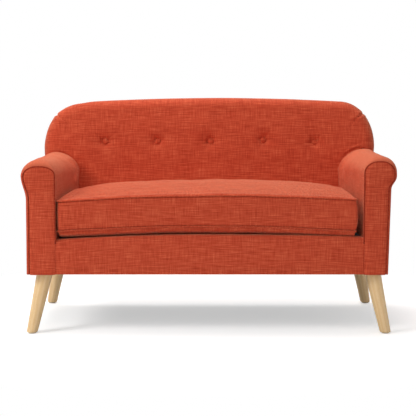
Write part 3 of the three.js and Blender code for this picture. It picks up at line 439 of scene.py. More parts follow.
def sheet_of(name, points, finish, thickness, keep=None, turned=False, body="frame", cloth=None):
    """A cloth with a thickness that goes inwards, without the points that keep leaves out."""
    cloth = flat_lengths(points) if cloth is None else cloth
    made = surface(name, points, finish, cloth, turned=turned, body=body)
    if keep is not None:
        shape = bmesh.new()
        shape.from_mesh(made.data)
        shape.verts.ensure_lookup_table()
        gone = [shape.verts[i] for i in np.flatnonzero(~keep.reshape(-1))]
        bmesh.ops.delete(shape, geom=gone, context="VERTS")
        shape.to_mesh(made.data)
        shape.free()
    wall = made.modifiers.new("thickness", "SOLIDIFY")
    wall.thickness, wall.offset = thickness, -1
    return made


black_cloth = woven_band("black_lining", (0.018, 0.018, 0.02), (0.008, 0.008, 0.009), 0.0016)


def felt(name, colour, dark, grain):
    """Open foam or felt: cells of two sizes, deeper where they are dark."""
    finish = Finish(name)
    place = finish.node("ShaderNodeTexCoord").part("Object")
    near = finish.node("ShaderNodeVectorMath", {"operation": "SCALE"}, {0: place, 3: 1 / grain})
    far = finish.node("ShaderNodeVectorMath", {"operation": "SCALE"}, {0: place, 3: 0.12 / grain})
    cell = finish.noise(near, 2.0) * 0.7 + finish.noise(far, 3.0) * 0.5 - 0.1
    tone = finish.blend(cell, (*dark, 1), (*colour, 1))
    return finish.shell(tone, cell, grain * 0.5, Roughness=cell * 0.05 + 0.9)


grey_felt = felt("polyester_felt", (0.62, 0.60, 0.55), (0.38, 0.36, 0.33), 0.0016)
cut_foam = felt("cut_foam", (0.84, 0.76, 0.52), (0.62, 0.52, 0.30), 0.0009)

DECK_FRONT, DECK_REAR, SPRING_TOP, DECK_CLOTH = -0.3154, 0.2291, 0.3174, 0.0012
DECK_COLUMNS, DECK_ROWS, DECK_SIDE_GAP, QUILT, QUILT_PITCH = 150, 78, 0.002, 0.0022, 0.24
DECK_SUNK, PAD_GAP = 0.0005, 0.0003
along = np.linspace(DECK_FRONT, DECK_REAR, DECK_ROWS)[:, None]
across = np.linspace(-1, 1, DECK_COLUMNS)[None, :] * (arm_inner(along) - DECK_SIDE_GAP)
puffs = np.abs(np.sin(math.pi * across / QUILT_PITCH)) ** 0.5
quilt = QUILT * puffs * np.sin(math.pi * (along - DECK_FRONT) / (DECK_REAR - DECK_FRONT))


def deck_grid(height):
    """The deck's plan, between the arms and from the front rail to the back, at a height."""
    return np.stack(np.broadcast_arrays(across, along, height), -1)


top = deck_top(across) - DECK_SUNK - (QUILT - quilt) * 0.5
under_cloth, on_springs = top - DECK_CLOTH - PAD_GAP, SPRING_TOP + 0 * across
deck_pad = pad("seat_deck_pad", deck_grid(under_cloth), deck_grid(on_springs), grey_felt)
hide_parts("deck_pad")
deck_cloth = sheet_of("seat_deck_cloth", deck_grid(top), black_cloth, DECK_CLOTH * 0.7)
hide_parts("deck_cloth")

DUST_HALF, DUST_FRONT, DUST_REAR, DUST_LEVEL, PLATE_WINDOW = 0.601, -0.3484, 0.2538, 0.2069, 0.0345
DUST_COLUMNS, DUST_ROWS, DUST_CLOTH, DUST_WAVE, DUST_TACKED = 183, 93, 0.0005, 0.0009, 0.001
x = np.linspace(-DUST_HALF, DUST_HALF, DUST_COLUMNS)[None, :]
y = np.linspace(DUST_FRONT, DUST_REAR, DUST_ROWS)[:, None]
flat = np.stack(np.broadcast_arrays(x, y, 0.0), -1)
from_edge = np.minimum(y - DUST_FRONT, DUST_REAR - y) - DUST_TACKED
flat[..., 2] = DUST_LEVEL + DUST_WAVE * ripple(flat, 0.12) * smooth(0, 0.03, from_edge)
near_leg = np.minimum(abs(y - LEG_Y["front"]), abs(y - LEG_Y["rear"]))
over_plate = (abs(abs(x) - LEG_X) < PLATE_WINDOW) & (near_leg < PLATE_WINDOW)
under = sheet_of("dust_cover_cloth", flat, black_cloth, DUST_CLOTH, ~over_plate)
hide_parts("dust_cover")

# Front border.
# One strip of the cover cloth, stapled under the front rail, drawn up over a foam strip and back on the deck.
# The cloth is a plain linen-look weave of rust polyester, whose yarns vary from thin to slubbed.
WARP, WEFT = 0.00185, 0.00165
RUST = (0.560, 0.070, 0.030), (0.80, 0.19, 0.090), (0.31, 0.025, 0.011)
# A paler rust, painted over the tops of the rolls as a painted highlight.
PAINTED_HIGHLIGHT_RUST = (0.66, 0.20, 0.105, 1)


def linen(name, colour, pale, deep, slub=1.0, sheen=0.40, crown=None):
    """Plain weave from the flat cloth's metres: two yarns that cross over and under.

    Each yarn keeps a tone of its own for a few centimetres, and slubs and thin places lie along it.
    Between the two heights of crown the colour is painted paler: a painted highlight where light falls on the
    top of a roll.
    """
    finish = Finish(name)
    cloth = finish.node("ShaderNodeUVMap", {"uv_map": "cloth"})
    across = finish.node("ShaderNodeSeparateXYZ", None, {0: cloth})
    along = across.part(1)
    sway = (finish.noise(finish.place(across * 45, along * 45), 2.0) - 0.5) * 0.002
    u = (across + sway) / WARP
    v = (along - sway) / WEFT
    warp_wave, weft_wave = (u * math.pi).sine(), (v * math.pi).sine()
    over = (warp_wave * weft_wave) > 0.0
    warp_rise = abs(warp_wave) * (abs(weft_wave) ** 0.4)
    weft_rise = abs(weft_wave) * (abs(warp_wave) ** 0.4)
    weave = warp_rise * over + weft_rise * (1 - over)
    weft_tone = finish.noise(finish.place(across * 16, along * 430), 2.0, 0.6)
    warp_tone = finish.noise(finish.place(across * 410, along * 20), 2.0, 0.6)
    weft_slub = finish.noise(finish.place(across * 17, along * 250 + 7.3), 1.0)
    warp_slub = finish.noise(finish.place(across * 240 + 3.1, along * 18), 1.0)
    cloud = finish.noise(finish.place(across * 9, along * 11), 3.0, 0.55)
    yarn = warp_tone * over + weft_tone * (1 - over)
    broad = weft_slub * 0.6 + warp_slub * 0.4
    lift = (yarn - 0.5) * 1.1 * slub + (broad - 0.5) * 1.7 * slub
    lift = lift + (weave - 0.45) * 0.32 + (cloud - 0.5) * 0.25
    base = finish.blend(lift * 1.3, (*colour, 1), (*pale, 1))
    tone = finish.blend(lift * -1.5, base, (*deep, 1))
    # Painted highlight: between the two heights of crown the colour turns towards the paler rust.
    if crown:
        spot = finish.node("ShaderNodeTexCoord").part("Object")
        level = finish.node("ShaderNodeSeparateXYZ", None, {0: spot}).part(2)
        steps = {0: level, 1: crown[0], 2: crown[1]}
        wear_and_painted_highlight = finish.node("ShaderNodeMapRange", {"interpolation_type": "SMOOTHSTEP"}, steps)
        tone = finish.blend(wear_and_painted_highlight * 0.42, tone, PAINTED_HIGHLIGHT_RUST)
    fuzz = finish.noise(finish.place(across * 2900, along * 2900), 2.0)
    height = weave * 0.8 + broad * 0.9 + fuzz * 0.25
    rough = fuzz * 0.12 + 0.82
    return finish.shell(
        tone, height, 0.0005, Roughness=rough,
        Sheen_Weight=sheen, Sheen_Roughness=0.32, Sheen_Tint=(1.0, 0.80, 0.5, 1),
        Specular_IOR_Level=0.08,
    )


rust_linen = linen("rust_linen", *RUST)
COVER, BORDER_RADIUS, BORDER_RETURN, HEM = 0.0015, 0.014, 0.045, 0.0035
BORDER_FOOT, UNDER_FACING = BASE + 0.0003, 0.0030
BORDER_SWELL, BORDER_WAVE, SWELL_REACH = 0.0026, 0.0011, 0.13
FOAM_FOOT, FOAM_HEM, FOAM_RETURN, FOAM_FACES = 0.2095, 0.003, 0.042, (0.0018, 0.0118)

x = np.linspace(-ARM_FRONT, ARM_FRONT, 215)[None, :]
quarter = np.linspace(0, math.pi / 2, 8)
face = np.linspace(0, 1, 28)[1:-1]


def border_strip(inset, hem, returned):
    """The strip's section, the same all along it but for the height that its top follows.

    Under the rail, round the hem, up the face, round the top edge and back over the deck.
    """
    radius = BORDER_RADIUS - inset
    over_deck = np.linspace(radius, returned, 9)[1:]
    depth = [[hem * 5], hem - hem * np.sin(quarter), 0 * face]
    depth += [radius - radius * np.cos(quarter), over_deck]
    lift = [[0.0], hem - hem * np.cos(quarter), hem + 0 * face]
    lift += [hem + radius * np.sin(quarter), hem + radius + 0 * over_deck]
    share = [[0.0], 0 * quarter, face, 1 + 0 * quarter, 1 + 0 * over_deck]
    depth, lift, share = [np.concatenate(parts)[:, None] for parts in (depth, lift, share)]
    y = FRONT + inset + depth
    z = BORDER_FOOT + lift + share * (deck_top(x) - inset - BORDER_FOOT - hem - radius)
    reach = arm_inner(y) + np.where(x < 0, -UNDER_FACING, UNDER_FACING)
    return np.stack(np.broadcast_arrays(x / ARM_FRONT * reach, y, z), -1)


strip = border_strip(0, HEM, BORDER_RETURN)
up = np.clip((strip[..., 2] - BASE) / SWELL_REACH, 0, 1)
on_face = np.sin(math.pi * up) * (strip[..., 1] < FRONT + BORDER_RADIUS)
swell = BORDER_SWELL * (1 - (x / ARM_FRONT) ** 8) - BORDER_WAVE * ripple(strip, 0.16, (1, 1, 0.6))
strip[..., 1] -= on_face * swell
border = sheet_of("front_border_cover", strip, rust_linen, COVER)
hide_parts("front_border")

outer, inner = [border_strip(inset, FOAM_HEM, FOAM_RETURN) for inset in FOAM_FACES]
for skin in (outer, inner):
    skin[..., 2] = np.maximum(skin[..., 2], FOAM_FOOT)
padding = pad("front_border_foam", outer, inner, cut_foam)
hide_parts("front_padding")

# Arms.
# A scroll-topped frame, wrapped in foam, under one cover that goes in over the roll and down the outside.
# Both were pulled up by hand: the cover puffs up behind its front seam, and the left roll sits lower.
BODY_FRONT, ARM_CROWN, OUTER = -0.3599, 0.5865, 0.617
HALF_WIDTH, SHOULDER, CORNER_WIDTH, CORNER_HEIGHT = 0.638, 0.401, 0.138, 0.175
CORNER_START, EDGE_ROLL, WAIST_POWER, CORNER_POWER, TOP_ARCH = 0.500, 0.042, 1.6, 2.1, 0.021
INNER_FOOT, LEFT_IN, FOOT_LEAN, LEAN_START = 0.302, 0.006, {-1: -0.004, 1: 0.024}, 0.43
# Top at the front, top at the back, widest place across, its height, foot, the neck's ends, and roundness.
ROLLS = {
    ("seam", -1): (0.5795, 0.5795, 0.6365, 0.546, 0.6185, 0.465, 0.545, 2.4),
    ("seam", 1): (0.5965, 0.5965, 0.6365, 0.556, 0.6160, 0.505, 0.538, 2.15),
    ("full", -1): (0.6005, 0.5910, 0.6440, 0.546, 0.6275, 0.465, 0.547, 2.3),
    ("full", 1): (0.6120, 0.6045, 0.6445, 0.557, 0.6240, 0.503, 0.545, 2.1),
}
REAR_BEND, REAR_POWER, OUTER_POWER, OUTSIDE_RUN = 0.523, 1.7, {-1: 2.0, 1: 2.25}, 0.017


def back_outline(count=1500):
    """Half the back's outline from its foot, evenly spaced: across, up, and the way along it.

    The side swells to the shoulder, the corner is a superellipse, and the top is a shallow arch.
    """
    side = np.linspace(0, 1, 400)
    waist = OUTER + (HALF_WIDTH - OUTER) * side**WAIST_POWER
    corner = np.linspace(0, math.pi / 2, 400)[1:]
    corner_x = CORNER_START + CORNER_WIDTH * np.cos(corner) ** (2 / CORNER_POWER)
    corner_h = SHOULDER + CORNER_HEIGHT * np.sin(corner) ** (2 / CORNER_POWER)
    arch_x = np.linspace(CORNER_START, 0, 400)[1:]
    arch_h = BACK_HEIGHT - TOP_ARCH * (arch_x / CORNER_START) ** 2
    x = np.concatenate([waist, corner_x, arch_x])
    h = np.concatenate([side * SHOULDER, corner_h, arch_h])
    way = np.concatenate([[0], np.cumsum(np.hypot(np.diff(x), np.diff(h)))])
    even = np.linspace(0, way[-1], count)
    return np.interp(even, way, x), np.interp(even, way, h), even


OUTLINE_X, OUTLINE_H, OUTLINE_WAY = back_outline()


def edge_distance(x, h):
    """How far a place on the back lies in from its outline."""
    gaps = np.hypot(np.abs(x)[..., None] - OUTLINE_X[::6], h[..., None] - OUTLINE_H[::6])
    return gaps.min(-1) * (np.abs(x) < HALF_WIDTH)


def back_face(x, z):
    """How far back the back's rolled face lies at a place across and a height.

    The edge is a quarter circle. Thickness and way up the rake depend on each other, and settle in six turns.
    """
    t = np.full(np.broadcast(x, z).shape, 0.12)
    for _ in range(6):
        h = (z - BASE - t * math.sin(RAKE)) / math.cos(RAKE)
        depth = np.minimum(edge_distance(x, h), EDGE_ROLL)
        t = back_thickness(h) - EDGE_ROLL + np.sqrt(EDGE_ROLL**2 - (EDGE_ROLL - depth) ** 2)
    return BACK_REAR + h * math.sin(RAKE) - t * math.cos(RAKE)


def roll_form(kind, side, y):
    """The sizes of an arm's roll at a place along it, which change evenly from front to back."""
    top, rear_top, wide, level, foot, low, high, power = ROLLS[kind, side]
    share = np.clip(arm_share(y), 0, 1.05)
    top, bend = top + (rear_top - top) * share, level + (REAR_BEND - level) * share
    return top, bend, power + (REAR_POWER - power) * share, wide, level, foot, low, high


# Each line round an arm has these points: its part, 0 inside to 3 outside, and the way along that part.
LINE_COUNTS = 41, 36, 36, 52
TOP_POINT = LINE_COUNTS[0] + LINE_COUNTS[1] - 1
part = np.repeat([0, 1, 2, 3], LINE_COUNTS)
steps = [np.linspace(0, 1, count, endpoint=False) for count in LINE_COUNTS[:3]]
step = np.concatenate([*steps, np.linspace(0, 1, LINE_COUNTS[3])])
lift, reach = np.sin(step * math.pi / 2), np.maximum(np.cos(step * math.pi / 2), 0)
on_top = lift * (part == 1) + reach * (part == 2)


def inside_arm(side, y):
    """The inner face of each arm. The left one stands 6 mm further in at its front."""
    return arm_inner(y) - (LEFT_IN * (1 - arm_share(y)) if side < 0 else 0)


def arm_line(kind, side, y, inset, inner_foot, outer_foot):
    """Across and up at a place along the arm: inner face, two superellipse quarters, an S to the outside."""
    top, bend, power, wide, level, foot, low, high = roll_form(kind, side, y)
    inner = inside_arm(side, y) + inset
    round_out = 2 / OUTER_POWER[side]
    rise = np.where(part == 1, top - inset - bend, top - inset - level)
    x = [inner, ARM_CROWN - (ARM_CROWN - inner) * reach ** (2 / power)]
    x += [ARM_CROWN + (wide - inset - ARM_CROWN) * lift**round_out]
    z = [inner_foot + (bend - inner_foot) * step, bend + rise * lift ** (2 / power)]
    z += [level + rise * reach**round_out, level - (level - outer_foot) * step]
    foot = foot + FOOT_LEAN[side] * np.minimum(z[3] - LEAN_START, 0.08)
    x += [foot - inset + (wide - foot) * smooth(low, high, z[3])]
    parts = [part == number for number in range(4)]
    shape = np.broadcast(x[1], z[1]).shape
    return tuple(np.select(parts, [np.broadcast_to(line, shape) for line in lines]) for lines in (x, z))


def arm_skin(side, inset, short, shares, inner_foot, outer_foot):
    """Lines from the front seam to where each meets the back's face, less short.

    Just behind the seam the lines open out from the facing's to the arm's, by a quarter ellipse.
    Where a line meets the back depends on the line's own form there, and settles in four turns.
    Outside, the cover runs on a little way beside the back.
    """
    start = BODY_FRONT + inset * 0.6
    end = np.full(part.shape, 0.15)
    for _ in range(4):
        end = back_face(*arm_line("full", side, end, inset, inner_foot, outer_foot)) - short
    if not inset:
        end = end + OUTSIDE_RUN * (part == 3) * smooth(0.1, 0.5, step)
    y = start + (end - start) * shares[:, None]
    seam = np.stack(arm_line("seam", side, y, inset, inner_foot, outer_foot))
    full = np.stack(arm_line("full", side, y, inset, inner_foot, outer_foot))
    nose = 0.014 + 0.030 * on_top
    opened = np.sqrt(1 - np.clip(1 - (y - start) / nose, 0, 1) ** 2)
    x, z = seam + (full - seam) * opened
    return np.stack([x, y, z], -1)


def handed(points, side):
    """The left arm is worked out on the right, and turned over in a mirror."""
    return points * np.array([side, 1, 1])


SEAM_SHARE, WRAP_FACES, WRAP_SHORT, WRAP_FEET = 0.09, (0.0078, 0.0145), 0.004, (0.303, 0.455)
ARM_GATHER, ARM_WAVE, ARM_CREASE, CREASE_BEHIND = 0.0004, 0.0016, 0.0020, 0.46
TUCK_IN, TUCK_BACK = 0.024, 0.009


def arm_shares(near, far):
    """Shares of the way back: so many, closer together, just behind the seam, and so many even ones."""
    return np.concatenate([SEAM_SHARE * np.linspace(0, 1, near)[:-1] ** 2, np.linspace(SEAM_SHARE, 1, far)])


def hand_pulled(skin, side):
    """The cover's unevenness: gathers behind the front seam, broad waves, and creases near the back."""
    behind = skin[..., 1] - BODY_FRONT
    length = np.cumsum(np.linalg.norm(np.diff(skin, axis=1, prepend=skin[:, :1]), axis=-1), 1)
    pleat = np.sin(length / 0.0021 + 1.7 * np.sin(length / 0.019 + side) + side)
    gather = ARM_GATHER * pleat * np.exp(-behind / 0.012) * smooth(0, 0.004, behind) * (part < 3)
    wave = ARM_WAVE * ripple(skin + side * 0.7, 0.13) * smooth(0, 0.05, behind)
    near_back = np.exp(-((behind - CREASE_BEHIND) / 0.05) ** 2) * smooth(0, 0.02, behind)
    crease = ARM_CREASE * near_back * ripple(skin + side, 0.03, (1, 0.25, 1))
    normal = np.cross(np.gradient(skin, axis=0), np.gradient(skin, axis=1))
    normal /= np.linalg.norm(normal, axis=-1, keepdims=True) + 1e-12
    normal *= np.where(normal[:, TOP_POINT:TOP_POINT + 1, 2:3] < 0, -1, 1)
    skin = skin + normal * (gather + wave - crease)[..., None]
    skin[..., 2] = np.maximum(skin[..., 2], COVER_FOOT)
    return skin


def tucked(skin, side):
    """Adds the rows at the back end, where the cloth curls in between the arm and the back."""
    turn = np.sin(np.linspace(0, math.pi / 2, 6))[1:, None]
    drawn_in = TUCK_IN * (1 - np.sqrt(1 - turn**2)) + 0.001
    x, z = arm_line("full", side, skin[-1:, :, 1], drawn_in, INNER_FOOT, COVER_FOOT)
    return np.concatenate([skin, np.stack(np.broadcast_arrays(x, skin[-1:, :, 1] + TUCK_BACK * turn, z), -1)])


# The arm covers' cloth is painted paler over the roll tops, a painted highlight.
arm_linen_painted_highlight = linen("arm_linen_painted_highlight", *RUST, sheen=0.20, crown=(0.545, 0.585))
cover_shares, wrap_shares = arm_shares(16, 96), arm_shares(10, 50)
for hand, side in HANDS:
    skin = arm_skin(side, 0, 0.0, cover_shares, INNER_FOOT, COVER_FOOT)
    skin = handed(tucked(hand_pulled(skin, side), side), side)
    cover = sheet_of(f"arm_cover_cloth_{hand}", skin, arm_linen_painted_highlight, COVER, turned=side > 0)
    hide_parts(f"arm_cover_{hand}")

    wrap = [arm_skin(side, inset, WRAP_SHORT, wrap_shares, *WRAP_FEET) for inset in WRAP_FACES]
    foam = pad(f"arm_foam_wrap_{hand}", *(handed(skin, side) for skin in wrap), cut_foam)
    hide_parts(f"arm_foam_{hand}")

# Arm facings and their piping.
# A padded board in the cover cloth closes the front of each arm.
# Cord in a bias-cut strip of the same cloth lies in the seam round it; its cloth is a darker copy, painted
# shade for the deep seam.
PIPING, PIPING_OUT, PIPING_FORWARD, PIPING_FOOT, PIPING_STEP = 0.0024, 0.0019, 0.0010, 0.314, 0.0004
FACING_CLOTH, FACING_RIM, FACING_FOOT, FACING_PLUMP = 0.0024, 0.0012, BASE + 0.0036, 0.0034
SEAM_SUNK, SUNK_AT_BORDER, FOLD_LEVEL, FOLD_RISE = 0.0016, 0.0004, 0.492, 0.0024
# A darker copy of the cover cloth: painted shade, for the piping cord in its seam and the pleats under the
# buttons.
painted_shade_linen = linen("painted_shade_linen", (0.30, 0.026, 0.010), (0.50, 0.070, 0.028), (0.16, 0.012, 0.005))


def cord_skin(course, radius, level, sides=14):
    """Rings round a course of points: one way of each ring is square to the course and to level."""
    heading = np.gradient(course, axis=0)
    heading /= np.linalg.norm(heading, axis=1, keepdims=True)
    out = np.cross(heading, np.array(level, float))
    out /= np.linalg.norm(out, axis=1, keepdims=True)
    up = np.cross(out, heading)
    turn = np.linspace(0, 2 * math.pi, sides + 1)[:-1][None, :, None]
    points = course[:, None] + radius * (np.cos(turn) * out[:, None] + np.sin(turn) * up[:, None])
    step = np.linalg.norm(np.diff(course, axis=0, prepend=course[:1]), axis=1)
    way = np.cumsum(step)[:, None]
    girth = np.linspace(0, 2 * math.pi * radius, sides + 1)[None, :]
    return points, np.stack([(way + girth) / math.sqrt(2), (way - girth) / math.sqrt(2)], -1)


def capped(points):
    """Closes a tube's ends: one more ring at each, drawn in to the middle of the last."""
    middle = np.broadcast_to(points[[0, -1]].mean(1, keepdims=True), (2, *points.shape[1:]))
    return np.concatenate([middle[:1], points, middle[1:]])


def piping(name, course, level, finish, around=False, body="frame"):
    """A cloth-covered cord, its weave on the bias, which thickens and thins a little along its seam."""
    if around:
        course = np.concatenate([course, course[:1]])
    points, cloth = cord_skin(course, PIPING, level)
    if around:
        points[-1] = points[0]
    way = cloth[:, :1, :1] + cloth[:, :1, 1:]
    points = course[:, None] + (points - course[:, None]) * (1 + 0.05 * np.sin(way * 310) * np.sin(way * 47))
    if not around:
        points = capped(points)
        cloth = np.concatenate([cloth[:1], cloth, cloth[-1:]])
    made = surface(name, points, finish, cloth, around=True, body=body)
    weld(made)
    return made


def facing_skin(side):
    """The facing's padded face and its flat cloth, in rows from its hem to the top of the roll.

    It sinks at its seam, but hardly where the front border meets it. A thin fold crosses the left one.
    """
    top, bend, power, wide, high_level, foot, low, high = roll_form("seam", side, FRONT)
    rim, out_power = FACING_RIM, OUTER_POWER[side]
    quarter = np.sin(np.linspace(0, math.pi / 2, 60))[1:]
    level = [np.linspace(FACING_FOOT, bend, 92), bend + (top - rim - bend) * quarter]
    level = np.concatenate(level)[:, None]
    over = np.clip((level - bend) / (top - rim - bend), 0, 1)
    inner = ARM_CROWN - (ARM_CROWN - inside_arm(side, FRONT) - rim) * (1 - over**power) ** (1 / power)
    over = np.clip((level - high_level) / (top - rim - high_level), 0, 1)
    outer = ARM_CROWN + (wide - rim - ARM_CROWN) * (1 - over**out_power) ** (1 / out_power)
    foot = foot + FOOT_LEAN[side] * np.minimum(level - LEAN_START, 0.08)
    outer = np.where(level < high_level, foot - rim + (wide - foot) * smooth(low, high, level), outer)
    half = (outer - inner) / 2
    across = np.sin(np.linspace(-math.pi / 2, math.pi / 2, 33))[None, :]
    x = (outer + inner) / 2 + across * half
    edge = np.minimum(half * (1 - abs(across)), (top - level) * 0.8)
    above_border = SUNK_AT_BORDER + (SEAM_SUNK - SUNK_AT_BORDER) * smooth(0.315, 0.325, level)
    sunk = np.where(across < 0, above_border, SEAM_SUNK)
    plump = FACING_PLUMP * smooth(0, 0.016, edge) - sunk * (1 - smooth(0, 0.004, edge))
    face = np.stack(np.broadcast_arrays(x, FRONT - plump, level), -1)
    face[..., 1] += 0.0006 * ripple(face + side * 0.4, 0.11, (1, 1, 0.5))
    if side < 0:
        face[..., 1] -= FOLD_RISE * np.exp(-(((level - FOLD_LEVEL) / 0.0022) ** 2)) * smooth(0, 0.01, edge)
    hem = face[:1] + np.array([0, 0.0040, -0.0031])
    cloth = np.stack(np.broadcast_arrays(x + 1.3 * side, level), -1)
    return np.concatenate([hem, face]), np.concatenate([cloth[:1], cloth])


for hand, side in HANDS:
    face, cloth = facing_skin(side)
    made = sheet_of(f"arm_facing_cloth_{hand}", handed(face, side), rust_linen, FACING_CLOTH,
                    turned=side > 0, cloth=cloth)
    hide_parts(f"arm_facing_{hand}")

    x, z = arm_line("seam", side, np.full(part.shape, FRONT), 0.0, PIPING_FOOT, BASE + PIPING)
    course = handed(np.stack([x, np.full(x.shape, FRONT - PIPING_FORWARD), z], -1), side)
    keep = np.concatenate([[True], np.linalg.norm(np.diff(course, axis=0), axis=1) > PIPING_STEP])
    # The cord's darker cloth is painted shade.
    cord = piping(f"arm_piping_cord_{hand}", course[keep], (0, 1, 0), painted_shade_linen)
    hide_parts(f"arm_piping_{hand}")

# Back.
# Webbing and foam on a raked frame, under one cover that rolls over the top and down the sides.
# A flat outer panel is tacked over the rear, and the cover is eased into small puckers at its corners.
# The buttons were set by eye, a few millimetres off their even places.
BUTTON_PITCH, BUTTON_OFF = 0.203, np.array([0.005, 0.005, 0.0055, 0.0045, -0.002])
BUTTONS = np.arange(-2, 3) * BUTTON_PITCH + BUTTON_OFF
BUTTON_ROW, BUTTON_RISE, TUFT = 0.4145, np.array([0, 0, 0.001, 0.005, -0.003]), 0.0155
VALLEY, DIMPLE, DIMPLE_EDGE, DIMPLE_FALL = 0.0030, 0.0123, 0.0125, 0.0115
CREASE, CREASE_WIDTH = 0.0024, 0.0032
# From the left, each button's creases: the angle at which a crease leaves it, in degrees, and its length.
CREASES = [
    [(148, 0.035), (38, 0.040), (-20, 0.022), (205, 0.020)],
    [(120, 0.020), (20, 0.018), (178, 0.026), (-60, 0.014)],
    [(95, 0.030), (200, 0.016), (-12, 0.020), (300, 0.012)],
    [(60, 0.020), (165, 0.018), (2, 0.026), (240, 0.014)],
    [(132, 0.042), (50, 0.030), (185, 0.034), (-15, 0.020)],
]
WEBBING, FOAM_IN, FOAM_ROLL = 0.0296, 0.0065, 0.0402
outline_x = np.concatenate([-OUTLINE_X, OUTLINE_X[-2::-1]])
outline_h = np.concatenate([OUTLINE_H, OUTLINE_H[-2::-1]])
outline_way = np.concatenate([OUTLINE_WAY, 2 * OUTLINE_WAY[-1] - OUTLINE_WAY[-2::-1]])


def tufts(x, h):
    """How deep the face is pulled in: a dimple at each button, creases from it, and a shallow valley.

    A dimple falls off with distance by an exponential, which leaves it steep beside its button.
    """
    deep = VALLEY * np.exp(-(((h - BUTTON_ROW) / 0.05) ** 2)) * (1 - smooth(0.40, 0.56, abs(x)))
    for place, up, creases in zip(BUTTONS, BUTTON_RISE, CREASES):
        row = h - BUTTON_ROW - up
        away, turn = np.hypot(x - place, row), np.arctan2(row, x - place)
        deep = np.maximum(deep, 0) + DIMPLE * np.exp(-np.clip(away - DIMPLE_EDGE, 0, 1) / DIMPLE_FALL)
        for angle, length in creases:
            bow = math.radians(angle) + (away - 0.014) * 6 * math.sin(angle)
            beside, same_side = abs(np.sin(turn - bow)) * away, np.cos(turn - bow) > 0
            line = np.exp(-((beside / CREASE_WIDTH) ** 2))
            line = line - 0.5 * np.exp(-(((beside - 0.0065) / 0.004) ** 2))
            fade = np.exp(-((away - 0.016) / length) ** 2) * (away > 0.01)
            deep = deep + CREASE * line * same_side * fade
    return deep


def hung(points, h):
    """Over the arms the back leans a few millimetres to the right, and its top droops in the middle."""
    x = points[..., 0]
    over = np.where(x < 0, smooth(0.37, 0.46, h), smooth(0.2, 0.36, h))
    low = np.clip(0.0064 - 0.0034 * x - 0.0228 * x**2, -0.001, 1) + 0.008 * smooth(0.44, 0.55, -x)
    low = low * smooth(0.40, 0.56, h)
    return points + np.stack([0.0034 * over, 0 * x, -low], -1)


def over_arms(points):
    """How far a place lies outside the arm that meets the back there, and whether it is in it."""
    away, inside = np.ones(points.shape[:2]), np.zeros(points.shape[:2], bool)
    for side in (-1, 1):
        beside, z = points[..., 0] * side, points[..., 2]
        top, bend, power, wide, level = roll_form("full", side, points[..., 1])[:5]
        inner, outer_power = inside_arm(side, points[..., 1]), OUTER_POWER[side]
        on_inner = beside < ARM_CROWN
        reach = (beside - ARM_CROWN) / np.where(on_inner, inner - ARM_CROWN, wide - ARM_CROWN)
        base = np.where(on_inner, bend, level)
        lift = np.clip((z - base) / (top - base), 0, 9)
        power = np.where(on_inner, power, outer_power)
        radius = (np.abs(reach) ** power + lift**power) ** (1 / power)
        away = np.where(beside > 0, (radius - 1) * 0.075, away)
        inside |= (beside > inner + 0.004) & (beside < 0.613) & (radius < 0.94)
    return away, inside


def arm_welt(points):
    """A crease just over each arm, where the cover is pulled down behind the arm's roll."""
    away, beside = over_arms(points)[0], np.abs(points[..., 0])
    over = smooth(0.50, 0.545, beside) * (points[..., 2] > 0.54)
    line = 0.0036 * np.exp(-(((away - 0.0062) / 0.0026) ** 2))
    line = line - 0.0030 * np.exp(-(((away - 0.0125) / 0.0034) ** 2))
    return line * over * np.where(points[..., 0] < 0, 0.45, 1.0)


count = 430
way = np.linspace(0, outline_way[-1], count)
edge_x, edge_h = np.interp(way, outline_way, outline_x), np.interp(way, outline_way, outline_h)
slope_x, slope_h = np.gradient(edge_x, way), np.gradient(edge_h, way)
in_x, in_h = slope_h / np.hypot(slope_x, slope_h), -slope_x / np.hypot(slope_x, slope_h)

# The top rail's section, with its edges sanded off, is swept round the outline.
# Its corners are given by how far each lies in from the outline, and how far forward.
RAIL_FOOT = 0.4303
board_in = np.array([0.0076, 0.0070, 0.0070, 0.0076, 0.0560, 0.0566, 0.0566, 0.0560])
board_forward = np.array([0.0040, 0.0048, 0.0262, 0.0270, 0.0270, 0.0262, 0.0048, 0.0040])
above = edge_h > RAIL_FOOT
rail_x = edge_x[above, None] + in_x[above, None] * board_in
rail_h = edge_h[above, None] + in_h[above, None] * board_in
rail_skin = hung(on_back(rail_x, rail_h, board_forward), rail_h)
top_rail = weld(surface("top_rail_board", capped(rail_skin), sawn, around=True))
edges = top_rail.modifiers.new("edges", "EDGE_SPLIT")
edges.split_angle = math.radians(35)
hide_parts("back_top_rail")

pucker = np.zeros(count)
for side, height, strength in [(-1, 0.531, 1.35), (1, 0.528, 1.0)]:
    near = OUTLINE_WAY[np.argmin(abs(OUTLINE_H - height))]
    near = near if side < 0 else outline_way[-1] - near
    notch, shoulders = np.exp(-(((way - near) / 0.0055) ** 2)), np.exp(-(((way - near) / 0.017) ** 2))
    pucker += strength * (notch - 0.45 * shoulders)

BAND_ROWS, ROLL_ROWS, FACE_ROWS, SEAM_OUT = 20, 15, 91, 0.0018
edge_rows = BAND_ROWS + ROLL_ROWS
band = np.linspace(0, 1, BAND_ROWS)[:, None]
theta = np.linspace(0, math.pi / 2, ROLL_ROWS + 1)[1:, None]
inward = np.linspace(0, 1, FACE_ROWS + 1)[1:, None]
waver = 1 + 0.25 * np.sin(way / 0.031)
roll_in = EDGE_ROLL * (1 - np.cos(theta))
spine_x = np.linspace(-0.56, 0.56, count)
spine_h = deck_top(spine_x) + 0.0005 - BASE - BACK_THICK * math.sin(RAKE)
spine_h = spine_h / (math.cos(RAKE) - BACK_THINNING * math.sin(RAKE))
start_x, start_h = edge_x + in_x * EDGE_ROLL, edge_h + in_h * EDGE_ROLL
face_x, face_h = start_x + (spine_x - start_x) * inward, start_h + (spine_h - start_h) * inward

